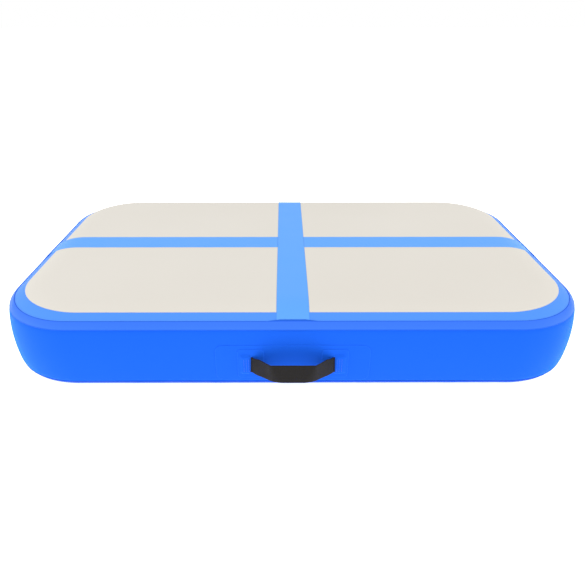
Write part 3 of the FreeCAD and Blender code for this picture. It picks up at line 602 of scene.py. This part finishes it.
def wall_section(turn):
    """The wall sheet's closed section: up its outside and down its inside."""
    slopes = steps(-SEAM_ANGLE, -9, 8)[:-1] + steps(-9, 9, 12) + steps(9, SEAM_ANGLE, 8)[1:]
    outside = [(slope, ripple(turn) * (1 - abs(slope) / SEAM_ANGLE), 0.0) for slope in slopes]
    return outside + [(slope, lift - SKIN, 0.0) for slope, lift, _ in reversed(outside)]


def pierced(piece, centre, radius, depth):
    """Cut a round hole through a piece, along Y, and keep it a plain mesh."""
    bm = bmesh.new()
    turn = Matrix.Rotation(math.pi / 2, 4, "X")
    bmesh.ops.create_cone(bm, cap_ends=True, segments=64, radius1=radius, radius2=radius, depth=depth,
                          matrix=Matrix.Translation(centre) @ turn)
    punch = finish_mesh("punch", bm)
    cut = piece.modifiers.new("hole", "BOOLEAN")
    cut.operation, cut.solver, cut.object = "DIFFERENCE", "EXACT", punch
    made = modified(piece)
    piece.modifiers.clear()
    piece.data = made
    bpy.data.objects.remove(punch)


wall = band("wall_sheet", wall_section, royal_pvc)
pierced(wall, (VALVE_X, HALF_WIDE_FACE, half_height), BARREL, 20 * MM)
settle(wall, "mat", "royal_blue_pvc", "side_band")

skin_edge = CORNER - rim_point(math.radians(SEAM_ANGLE))[0]


def skin_outline(inset):
    """The cut line of the top and bottom skins."""
    inset += skin_edge
    return rounded(-HALF_LONG_FACE, HALF_LONG_FACE, -HALF_WIDE_FACE, HALF_WIDE_FACE, [CORNER] * 4, inset)


def skin_rings():
    """Over a skin's cut edge, with extra rings where the shoulder and the crown bend it."""
    insets = [CORNER - rim_point(math.radians(angle))[0] - skin_edge
              for angle in range(SEAM_ANGLE, 90, SKIN_STEP)]
    return [(inset, -SKIN, 0) for inset in reversed(insets)] + [(inset, 0, 0) for inset in insets]


def skin(name, lay, material):
    return patch(name, skin_outline, skin_rings(), lay, material)


top = settle(skin("top_sheet", on_top, print_blue), "mat", "light_blue_skin", "top_skin")
bottom = settle(skin("bottom_sheet", on_underside, base_pvc), "mat", "underside_skin", "bottom_skin")
print("wall, top and bottom:", [len(p.data.polygons) for p in (wall, top, bottom)])

# %% [markdown]
# ## Rim tapes
# A tape covers each seam between the wall and a skin. It is welded under a hot wheel, which leaves fine
# puckers along it. Its two edges are painted a deeper blue all the way round, a thin painted shade line
# where each edge would cast a little shadow.

# %% Rim tapes
TAPE = 0.8 * MM
TAPE_LOW, TAPE_HIGH = 26, 60        # the tape's edges, as slopes in degrees
HUMP_HALF, HUMP_EASE = 24 * MM, 8 * MM      # where the tape climbs over a stripe, and how it eases off


def pucker(turn):
    """Fine puckers of the welded tape, in whole waves round the mat."""
    return 0.06 * MM * math.sin(math.tau * 171 * turn) + 0.05 * MM * math.sin(math.tau * 61 * turn + 1.0)


def over_stripe(turn):
    """1 where the tape climbs over the end of a stripe, easing to 0 beside it."""
    nearest = min(abs(turn - middle - whole) for middle in stripe_turns for whole in (-1, 0, 1))
    away = nearest * edge_length
    t = min(max((away - HUMP_HALF) / HUMP_EASE, 0), 1)
    return 1 - t * t * (3 - 2 * t)


def tape_section(side):
    """A tape's closed section, rolled over at both edges. side is 1 on top and -1 underneath."""
    def section(turn):
        rise = over_stripe(turn) if side > 0 else 0.0
        high = TAPE_HIGH + 1.5 * rise
        lift = TAPE + pucker(turn) + 0.5 * MM * rise
        # the rounded edges are flagged 1, so they take the tape's edge colour, a darker painted shade line
        slopes = [(TAPE_LOW, 0, 1), (TAPE_LOW, 0.35, 1), (TAPE_LOW + 0.7, 0.85, 1), (TAPE_LOW + 3.0, 1, 1),
                  (TAPE_LOW + 3.8, 1, 0)]
        slopes += [(slope, 1, 0) for slope in steps(TAPE_LOW + 5, TAPE_HIGH - 4.2, 10)]
        slopes += [(TAPE_HIGH - 3.2, 1, 0), (TAPE_HIGH - 2.6, 1, 1), (high - 0.2, 0.85, 1), (high, 0.35, 1),
                   (high, 0, 1), (TAPE_HIGH - 2, -0.1, 0)]
        slopes += [(slope, -0.1, 0) for slope in steps(TAPE_HIGH - 5, TAPE_LOW + 2, 10)]
        return [(side * slope, lift * share, float(cut)) for slope, share, cut in slopes]
    return section


NEAR_MIDDLE = 11 * MM
places, edge_length = stations()
# the stations at the middle of each side, where a stripe ends
stripe_turns = [run / edge_length for corner, out, run in places
                if abs(corner.x * out.y) + abs(corner.y * out.x) < NEAR_MIDDLE
                and max(abs(out.x), abs(out.y)) > 0.999]
for where, side, material in (("top", 1, tape_pvc), ("bottom", -1, base_tape_pvc)):
    tape = settle(band(where + "_tape", tape_section(side), material), "mat", "rim_tape", where + "_rim_tape")
print("tapes:", len(tape.data.polygons))

# %% [markdown]
# ## Cream panels and blue stripes
# Four cream panels leave a border of the blue skin outside them. The crosswise stripe runs from rim to
# rim between them and follows the crown down at the ends. The faint swell between rows of drop-stitch
# threads is a fraction of a millimetre, enough to stop the top from looking like board.

# %% Panels and stripes
PANEL, STRIPE = 0.4 * MM, 0.6 * MM
BORDER = 31 * MM
HALF_STRIPE = 26.5 * MM
THREAD_PITCH = 55 * MM


def swell(u, v):
    """The top's slight rise between the threads, fading out before the rim."""
    edge = min(HALF_LONG_FACE - abs(u), HALF_WIDE_FACE - abs(v))
    fade = min(max((edge - 0.03) / 0.06, 0), 1)
    rise = math.sin(math.pi * u / THREAD_PITCH) ** 2 * math.sin(math.pi * v / THREAD_PITCH) ** 2
    return 0.12 * MM * fade * rise


SQUARE = 0.3 * MM           # the radius of a cut corner that looks square
panel_u, panel_v = HALF_LONG_FACE - BORDER, HALF_WIDE_FACE - BORDER
# the coat stops short where the corner falls away, so its corner is rounder than the rim
outer_corner = CORNER - BORDER + 10 * MM
for place, su, sv in (("front_left", -1, -1), ("front_right", 1, -1), ("rear_left", -1, 1),
                      ("rear_right", 1, 1)):
    radii = [outer_corner if (su < 0) == (i in (0, 3)) and (sv < 0) == (i in (0, 1)) else SQUARE
             for i in range(4)]
    us = sorted((su * panel_u, su * HALF_STRIPE))
    vs = sorted((sv * panel_v, sv * HALF_STRIPE))
    panel = patch("cream_" + place, lambda inset: rounded(*us, *vs, radii, inset), rolled_edge(PANEL),
                  on_top, cream_coat, relief=swell)
    settle(panel, "mat", "cream_panel", "panel_" + place)

reach_u = HALF_LONG_FACE - (CORNER - crown_edge)
reach_v = HALF_WIDE_FACE - (CORNER - crown_edge)
across = patch("crosswise_stripe", plate(-HALF_STRIPE, HALF_STRIPE, -reach_v, reach_v, SQUARE),
               rolled_edge(STRIPE), on_top, stripe_pvc, relief=swell)
settle(across, "mat", "stripe_blue", "stripe_crosswise")
print("panels and stripe:", len(panel.data.polygons), len(across.data.polygons))

# %% [markdown]
# ## Lengthwise stripe
# The lengthwise stripe is cut where the crosswise one passes, so it is two lengths of tape, made apart
# and merged into one piece.

# %% Lengthwise stripe
def merge(name, parts):
    """Join several objects of one material into one, and remove them."""
    bm = bmesh.new()
    material = parts[0].data.materials[0]
    for part in parts:
        bm.from_mesh(part.data)
        bpy.data.objects.remove(part)
    return finish_mesh(name, bm, material)


ends = []
for side in (-1, 1):
    us = sorted((side * reach_u, side * (HALF_STRIPE + 0.1 * MM)))
    ends.append(patch("stripe_end", plate(*us, -HALF_STRIPE, HALF_STRIPE, SQUARE), rolled_edge(STRIPE),
                      on_top, stripe_pvc, relief=swell))
along = settle(merge("lengthwise_stripe", ends), "mat", "stripe_blue", "stripe_lengthwise")
print("lengthwise stripe:", len(along.data.polygons))


# %% [markdown]
# ## Handle patches and anchors
# Each handle sits on a long reinforcing patch. Over it, two small anchors hold the ends of the webbing,
# which comes out through a slit in the middle of its anchor. The anchor is raised where it covers the
# sewn end, and the rise is eased in over a few millimetres, as in a welded sheet.

# %% Patches and anchors
PATCH = 0.9 * MM
HANDLE_UP = 64 * MM
WEBBING, WEBBING_WIDE = 2.2 * MM, 30 * MM
SLIT = 68 * MM
TAIL = 14 * MM


def eased(distance, width):
    """0 at an edge and below it, 1 beyond width, smooth between."""
    t = min(max(distance / width, 0), 1)
    return t * t * (3 - 2 * t)


# the webbing is flat but the wall curves away below it, so the cover must clear the webbing's low edge
TAIL_FALL = WALL_R - math.sqrt(WALL_R ** 2 - (half_height - HANDLE_UP + WEBBING_WIDE / 2) ** 2)
COVER_RISE = WEBBING + TAIL_FALL + 0.15 * MM


def cover_rise(u, v):
    """How far an anchor stands up over the webbing's sewn end."""
    beyond = min(abs(u) - SLIT + 1.5 * MM, SLIT + TAIL + 4 * MM - abs(u))
    across = WEBBING_WIDE / 2 + 4 * MM - abs(v - HANDLE_UP)
    return COVER_RISE * eased(beyond, 3 * MM) * eased(across, 3.5 * MM)


def wall_piece(name, outline, thick, lift, side, **more):
    """A patch on a long wall, standing on what is lift thick below it."""
    return patch(name, outline, rolled_edge(thick), lambda u, v, out: on_wall(u, v, out + lift, side),
                 royal_pvc, **more)


for side, where in ((1, "front"), (-1, "rear")):
    base = wall_piece(where + "_patch", plate(-125 * MM, 125 * MM, HANDLE_UP - 35 * MM, HANDLE_UP + 35 * MM,
                                              12 * MM), PATCH, 0.0, side)
    settle(base, "mat", "royal_blue_pvc", where + "_handle_patch")
    for end, hand in ((-1, "left"), (1, "right")):
        middle_u = end * side * SLIT
        outline = plate(middle_u - 21.5 * MM, middle_u + 21.5 * MM, HANDLE_UP - 28 * MM, HANDLE_UP + 28 * MM,
                        6 * MM)
        anchor = wall_piece(f"{where}_{hand}_anchor", outline, PATCH, PATCH, side, grid=2.5 * MM,
                            relief=cover_rise)
        settle(anchor, "mat", "royal_blue_pvc", f"{where}_handle_{hand}_anchor")
print("patches and anchors:", len(base.data.polygons), len(anchor.data.polygons))

# %% [markdown]
# ## Repeats, with geometry nodes
# Stitches, webbing ribs and cap grips repeat one small shape along a line, so one node tree makes them
# all. It resamples a line at the pitch, sets a shape on each point, turned to follow the line, and turns
# the result into real mesh, which a maker takes before it drops the modifier.

# %% Repeating node tree
def repeat_tree():
    """A geometry node tree: one shape repeated along a line at a pitch."""
    tree = bpy.data.node_groups.new("repeat along a line", "GeometryNodeTree")
    face = tree.interface
    face.new_socket("Line", in_out="INPUT", socket_type="NodeSocketGeometry")
    for name, kind in (("Shape", "NodeSocketObject"), ("Pitch", "NodeSocketFloat"),
                       ("Finish", "NodeSocketMaterial")):
        face.new_socket(name, in_out="INPUT", socket_type=kind)
    face.new_socket("Repeated", in_out="OUTPUT", socket_type="NodeSocketGeometry")
    given = tree.nodes.new("NodeGroupInput").outputs
    curve = add(tree, "GeometryNodeMeshToCurve", {"Mesh": given["Line"]})
    points = add(tree, "GeometryNodeCurveToPoints", {"Curve": curve.outputs[0], "Length": given["Pitch"]},
                 mode="LENGTH")
    out = add(tree, "GeometryNodeInputNamedAttribute", {"Name": "outwards"}, data_type="FLOAT_VECTOR")
    facing = add(tree, "FunctionNodeAlignRotationToVector", {"Vector": points.outputs["Tangent"]}, axis="X")
    turned = add(tree, "FunctionNodeAlignRotationToVector",
                 {"Rotation": facing.outputs[0], "Vector": out.outputs["Attribute"]}, axis="Z",
                 pivot_axis="X")
    shape = add(tree, "GeometryNodeObjectInfo", {"Object": given["Shape"]})
    copies = add(tree, "GeometryNodeInstanceOnPoints",
                 {"Points": points.outputs["Points"], "Instance": shape.outputs["Geometry"],
                  "Rotation": turned.outputs[0]})
    real = add(tree, "GeometryNodeRealizeInstances", {"Geometry": copies.outputs[0]})
    done = add(tree, "GeometryNodeSetMaterial", {"Geometry": real.outputs[0], "Material": given["Finish"]})
    add(tree, "NodeGroupOutput", {"Repeated": done.outputs[0]})
    return tree


repeat_group = repeat_tree()


def pill(name, length, width, tall):
    """A closed pill shape lying along X, with its flat foot a little below zero."""
    bm = bmesh.new()
    bmesh.ops.create_uvsphere(bm, u_segments=10, v_segments=6, radius=0.5)
    for vert in bm.verts:
        x, y, z = vert.co
        square = 1.35 if abs(z) < 0.45 else 1.0
        vert.co = (z * length, max(min(y * square, 0.5), -0.5) * width, x * tall)
    return bpy.data.objects.new(name, to_mesh(name, bm))


def repeat(name, lines, shape, pitch, finish):
    """Repeat a shape along lines. Each line is a list of (point, outward direction)."""
    bm = bmesh.new()
    for line in lines:
        verts = [bm.verts.new(point) for point, _ in line]
        for a, b in zip(verts, verts[1:]):
            bm.edges.new((a, b))
    mesh = bpy.data.meshes.new(name)
    bm.to_mesh(mesh)
    bm.free()
    outward = mesh.attributes.new("outwards", "FLOAT_VECTOR", "POINT")
    outward.data.foreach_set("vector", np.array([out for line in lines for _, out in line], float).ravel())
    base = placed(name, mesh)
    modifier = base.modifiers.new("repeat", "NODES")
    modifier.node_group = repeat_group
    sockets = {item.name: item.identifier for item in repeat_group.interface.items_tree
               if item.item_type == "SOCKET" and item.in_out == "INPUT"}
    modifier[sockets["Shape"]] = shape
    modifier[sockets["Pitch"]] = pitch
    modifier[sockets["Finish"]] = finish
    base.update_tag()
    made = modified(base)
    made.materials.clear()
    made.materials.append(finish)
    bpy.data.objects.remove(base)
    return placed(name, made)


def wall_line(points, lift, side):
    """A line on a long wall, as (point, outward) pairs, from flat-drawn points."""
    line = []
    for u, v in points:
        here, there = on_wall(u, v, lift, side), on_wall(u, v, lift + 1 * MM, side)
        line.append((here, (there - here).normalized()))
    return line


stitch = pill("stitch", 2.6 * MM, 0.8 * MM, 0.6 * MM)
print("node tree inputs:", [i.name for i in repeat_group.interface.items_tree if i.in_out == "INPUT"])

# %% [markdown]
# ## Stitches of the anchors
# Three bars of stitching pass through each anchor's cover, the webbing and the patch. They stand across
# the webbing, one stitch after another, in thread that is dyed to match the wall.

# %% Stitches
COVER_LIFT = 2 * PATCH + COVER_RISE
for side, where in ((1, "front"), (-1, "rear")):
    for end, hand in ((-1, "left"), (1, "right")):
        lines = []
        for share in (0.22, 0.5, 0.78):
            u = end * side * (SLIT + TAIL * share)
            reach = WEBBING_WIDE / 2 - 4 * MM
            heights = [HANDLE_UP - reach + 2 * reach * k / 12 for k in range(13)]
            lines.append(wall_line([(u, v) for v in heights], COVER_LIFT + 0.05 * MM, side))
        bars = repeat(f"{where}_{hand}_stitching", lines, stitch, 3.1 * MM, thread_blue)
        settle(bars, "mat", "stitching", f"{where}_handle_{hand}_stitches")
print("stitches a bar:", len(bars.data.vertices) // len(stitch.data.vertices) // 3)

# %% [markdown]
# ## Webbing handles
# Each handle is one length of webbing: sewn flat under one anchor, out through the slit, up a slope to
# the hand's width, and back down. Its middle line is drawn from above, and the strap stands on edge
# along it. At rest the loop is tilted up a little by its own stiffness. The tilt grows from nothing at
# the wall, over the same depth in which the strap blends from the mat to the swinging loop.

# %% Webbing path
REACH, TAIL_OUT = 40 * MM, PATCH + WEBBING / 2 + 0.05 * MM
TWIST_START, TWIST_END = 2 * MM, 18 * MM
REST_TILT = math.radians(12)


def half_path(slope, slit_bend, hand_bend):
    """The strap's middle line from its sewn end to the middle of the loop, as (along, out, heading), for
    one slope and the radius of the bend at either end of it."""
    points = [(SLIT + TAIL - 1 * MM, TAIL_OUT, 0.0), (SLIT + TAIL / 2, TAIL_OUT, 0.0)]
    depth = REACH - TAIL_OUT - (slit_bend + hand_bend) * (1 - math.cos(slope))
    run = depth / math.sin(slope)
    for a in steps(0, slope, 8):
        points.append((SLIT - slit_bend * math.sin(a), TAIL_OUT + slit_bend * (1 - math.cos(a)), a))
    x, y = points[-1][:2]
    points += [(x - s * math.cos(slope), y + s * math.sin(slope), slope) for s in steps(0, run, 12)[1:-1]]
    x -= run * math.cos(slope) + hand_bend * math.sin(slope)
    for a in steps(slope, 0, 10):
        points.append((x + hand_bend * math.sin(a), REACH - hand_bend * (1 - math.cos(a)), a))
    points += [(x * (1 - k / 8), REACH, 0.0) for k in range(1, 9)]
    return points


def whole_path(*shape):
    """The middle line from one sewn end to the other."""
    half = half_path(*shape)
    return [Vector(p) for p in half] + [Vector((-x, out, -a)) for x, out, a in reversed(half[:-1])]


# the top edge creases where it turns to the hand, and the bottom edge hangs in a rounder curve
top_path = whole_path(math.radians(51), 4 * MM, 5 * MM)
bottom_path = whole_path(math.radians(44), 4 * MM, 30 * MM)
path = list(range(len(top_path)))


def strap_point(i, across, lift, side):
    """A point of the strap: across it from its middle, and lifted off its middle plane."""
    px, py, heading = bottom_path[i].lerp(top_path[i], across / WEBBING_WIDE + 0.5)
    px, py = px + lift * math.sin(heading), py + lift * math.cos(heading)
    turn = REST_TILT * eased(py - TWIST_START, TWIST_END - TWIST_START)
    up = across * math.cos(turn) + py * math.sin(turn)
    away = py * math.cos(turn) - across * math.sin(turn)
    return Vector((side * px, -side * (HALF_WIDE_FACE + away), HANDLE_UP + up))


print("strap length", round(sum((b.xy - a.xy).length for a, b in zip(top_path, top_path[1:])), 4))

# %% [markdown]
# ## Webbing handles
# The strap is a section swept along its path, and rows of small ribs stand on both of its faces, as the
# raised yarns of the weave do. The two become one piece, which blends from the mat to the swinging loop.

# %% Webbing handles
def strap_section():
    """The strap's cross-section: (across, lift), with rolled selvedges."""
    half, thick = WEBBING_WIDE / 2 - 0.3 * MM, WEBBING / 2 - 0.15 * MM
    points = []
    for sign in (1, -1):
        for k in range(7):
            a = math.pi / 2 - math.pi * k / 6
            points.append((sign * (half - thick + thick * math.cos(a)), sign * thick * math.sin(a)))
        for k in range(1, 6):
            points.append((sign * (half - thick) * (1 - k / 3), -sign * thick))
    return points


def make_strap(name, side):
    """The strap as a closed sweep along its path."""
    section = strap_section()
    rows, runs = [], [0.0]
    for i in path:
        rows.append([strap_point(i, across, lift, side) for across, lift in section])
        runs.append(runs[-1] + (top_path[min(i + 1, path[-1])].xy - top_path[i].xy).length)
    return sweep(name, rows, webbing_black, lambda k, j: (runs[k], section[j][0]))


LANES, LANE_PITCH = 5, 2.5 * MM         # rows of ribs each side of the middle, and from row to row
rib = pill("rib", 2.5 * MM, 1.5 * MM, 0.5 * MM)
for side, where in ((1, "front"), (-1, "rear")):
    ribs = []
    for face in (-1, 1):
        for lane in range(-LANES, LANES + 1):
            across = lane * LANE_PITCH
            line = []
            for i in path[2:-2]:
                here = strap_point(i, across, face * (WEBBING / 2 - 0.2 * MM), side)
                there = strap_point(i, across, face * WEBBING, side)
                line.append((here, (there - here).normalized()))
            ribs.append(line)
    parts = [make_strap(where + "_strap", side), repeat(where + "_ribs", ribs, rib, 2.9 * MM, webbing_black)]
    webbing = merge(where + "_webbing", parts)
    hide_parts(where + "_handle_loop", where + "_handle_left_tail", where + "_handle_right_tail")
    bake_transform(webbing)
print("webbing polygons:", len(webbing.data.polygons))

# %% [markdown]
# ## Seam strip and valve patch
# The wall's two ends meet on the back, under a welded strip. At the far end of that wall is the valve's
# round patch, with a hole for the barrel.

# %% Strip and valve patch
LAP_LOW = half_height - WALL_R * math.sin(WALL_ANGLE)
strip = wall_piece("lap_strip", plate(-270 * MM, -230 * MM, LAP_LOW, HEIGHT - LAP_LOW, 1 * MM),
                   0.8 * MM, 0.0, -1)
settle(strip, "mat", "royal_blue_pvc", "side_band_lap_strip")

ring_low, ring_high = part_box("valve_patch")
patch_radius = (ring_high.x - ring_low.x) / 2
round_patch = wall_piece("valve_patch_sheet", disc(-VALVE_X, half_height, patch_radius), PATCH, 0.0, -1,
                         hole=disc(-VALVE_X, half_height, BARREL, 48))
settle(round_patch, "mat", "royal_blue_pvc", "valve_patch")
print("valve patch radius", round(patch_radius, 4))

# %% [markdown]
# ## Valve
# The valve is moulded, so its solids keep their CAD shape and take a moulded finish. Two pieces are
# remade, because they bend when the valve is used. The spring is a real coil with closed ends, and the
# keeper is a flexible strap that runs from the valve's foot to its cap.

# %% Valve
def tube(name, centres, radius, material, sides=8):
    """A round wire along a line of points, with capped ends."""
    rows = []
    for i, here in enumerate(centres):
        ahead = (centres[min(i + 1, len(centres) - 1)] - centres[max(i - 1, 0)]).normalized()
        first = ahead.cross(Vector((0, 1, 0))).normalized()
        second = ahead.cross(first)
        turns = [math.tau * k / sides for k in range(sides)]
        rows.append([here + radius * (first * math.cos(a) + second * math.sin(a)) for a in turns])
    return sweep(name, rows, material)


spring_low, spring_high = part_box("valve_spring")
WIRE = 0.4 * MM
coil_radius = (spring_high.x - spring_low.x) / 2 - WIRE
TURNS, PER_TURN = 5, 28
CLOSED = 0.8                # of a turn, wound flat at each end
coil = []
for k in range(TURNS * PER_TURN + 1):
    share = k / (TURNS * PER_TURN)
    climb = min(max((share * TURNS - CLOSED) / (TURNS - 2 * CLOSED), 0), 1)
    a = math.tau * TURNS * share
    y = spring_low.y + WIRE + climb * (spring_high.y - spring_low.y - 2 * WIRE)
    coil.append(Vector((VALVE_X + coil_radius * math.cos(a), y, half_height + coil_radius * math.sin(a))))
spring = tube("coil_spring", coil, WIRE, spring_wire)
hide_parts("valve_spring")
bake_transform(spring)

strap_low, strap_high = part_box("valve_tether_strap")
TETHER, TETHER_WIDE = 1.2 * MM, 7 * MM
base_out = strap_low.y + TETHER / 2
top_out = strap_high.y - TETHER / 2
turn_radius = (top_out - base_out) / 2
tip = strap_high.x - TETHER / 2 - turn_radius
route = [(strap_low.x, top_out), (tip, top_out)]
for a in steps(math.pi / 2, -math.pi / 2, 12)[1:]:
    route.append((tip + turn_radius * math.cos(a), (top_out + base_out) / 2 + turn_radius * math.sin(a)))
foot_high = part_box("valve_tether_base")[1]
route.append((foot_high.x + 0.3 * MM, base_out))
# the strap's section, as shares of its half width and half thickness: flat, with eased corners
TETHER_SECTION = ((-1, -0.7), (-0.94, -1), (0.94, -1), (1, -0.7), (1, 0.7), (0.94, 1), (-0.94, 1), (-1, 0.7))
rows = []
for i, (x, y) in enumerate(route):
    ahead = Vector(route[min(i + 1, len(route) - 1)]) - Vector(route[max(i - 1, 0)])
    normal = Vector((-ahead.y, ahead.x)).normalized()
    rows.append([(x + normal.x * sv * TETHER / 2, y + normal.y * sv * TETHER / 2,
                  half_height + su * TETHER_WIDE / 2) for su, sv in TETHER_SECTION])
keeper = sweep("keeper_strap", rows, tpe_grey)
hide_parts("valve_tether_strap")
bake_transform(keeper)

kept_finishes = {
    "valve_body": abs_grey, "valve_cap": abs_grey, "valve_back_nut": abs_pale, "valve_plunger": abs_pale,
    "valve_gasket": epdm_black, "valve_seal_disc": epdm_black, "valve_cap_seal": epdm_black,
    "valve_clip": spring_wire, "valve_tether_base": tpe_grey, "valve_tether_ring": tpe_grey,
    "drop_stitch_threads": yarn_white,
}
for node, finish in kept_finishes.items():
    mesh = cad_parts[node].data
    mesh.materials.clear()
    mesh.materials.append(finish)
print("spring", len(spring.data.polygons), "keeper", len(keeper.data.polygons), "kept", len(kept_finishes))

# %% [markdown]
# ## Cap grips
# Thirty-six grip ribs stand round the cap's rim, each a small pill.

# %% Cap grips
GRIPS, SUNK = 36, 0.25 * MM         # how many ribs, and how deep their feet are in the cap
cap_low, cap_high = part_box("valve_cap")
grip_radius = (cap_high.x - cap_low.x) / 2 - SUNK
centre = Vector((VALVE_X, cap_high.y - 1.9 * MM, half_height))      # of the cap's rim
turns = [Vector((math.cos(a), 0, math.sin(a))) for a in steps(0, math.tau, 48)]
around = [(centre + grip_radius * out, out) for out in turns]
grip = pill("grip", 0.9 * MM, 2.6 * MM, 0.9 * MM)
grips = repeat("cap_grips", [around], grip, math.tau * grip_radius / GRIPS, abs_grey)
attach(grips, "valve_cap")
print("grips:", len(grips.data.vertices) // len(grip.data.vertices))
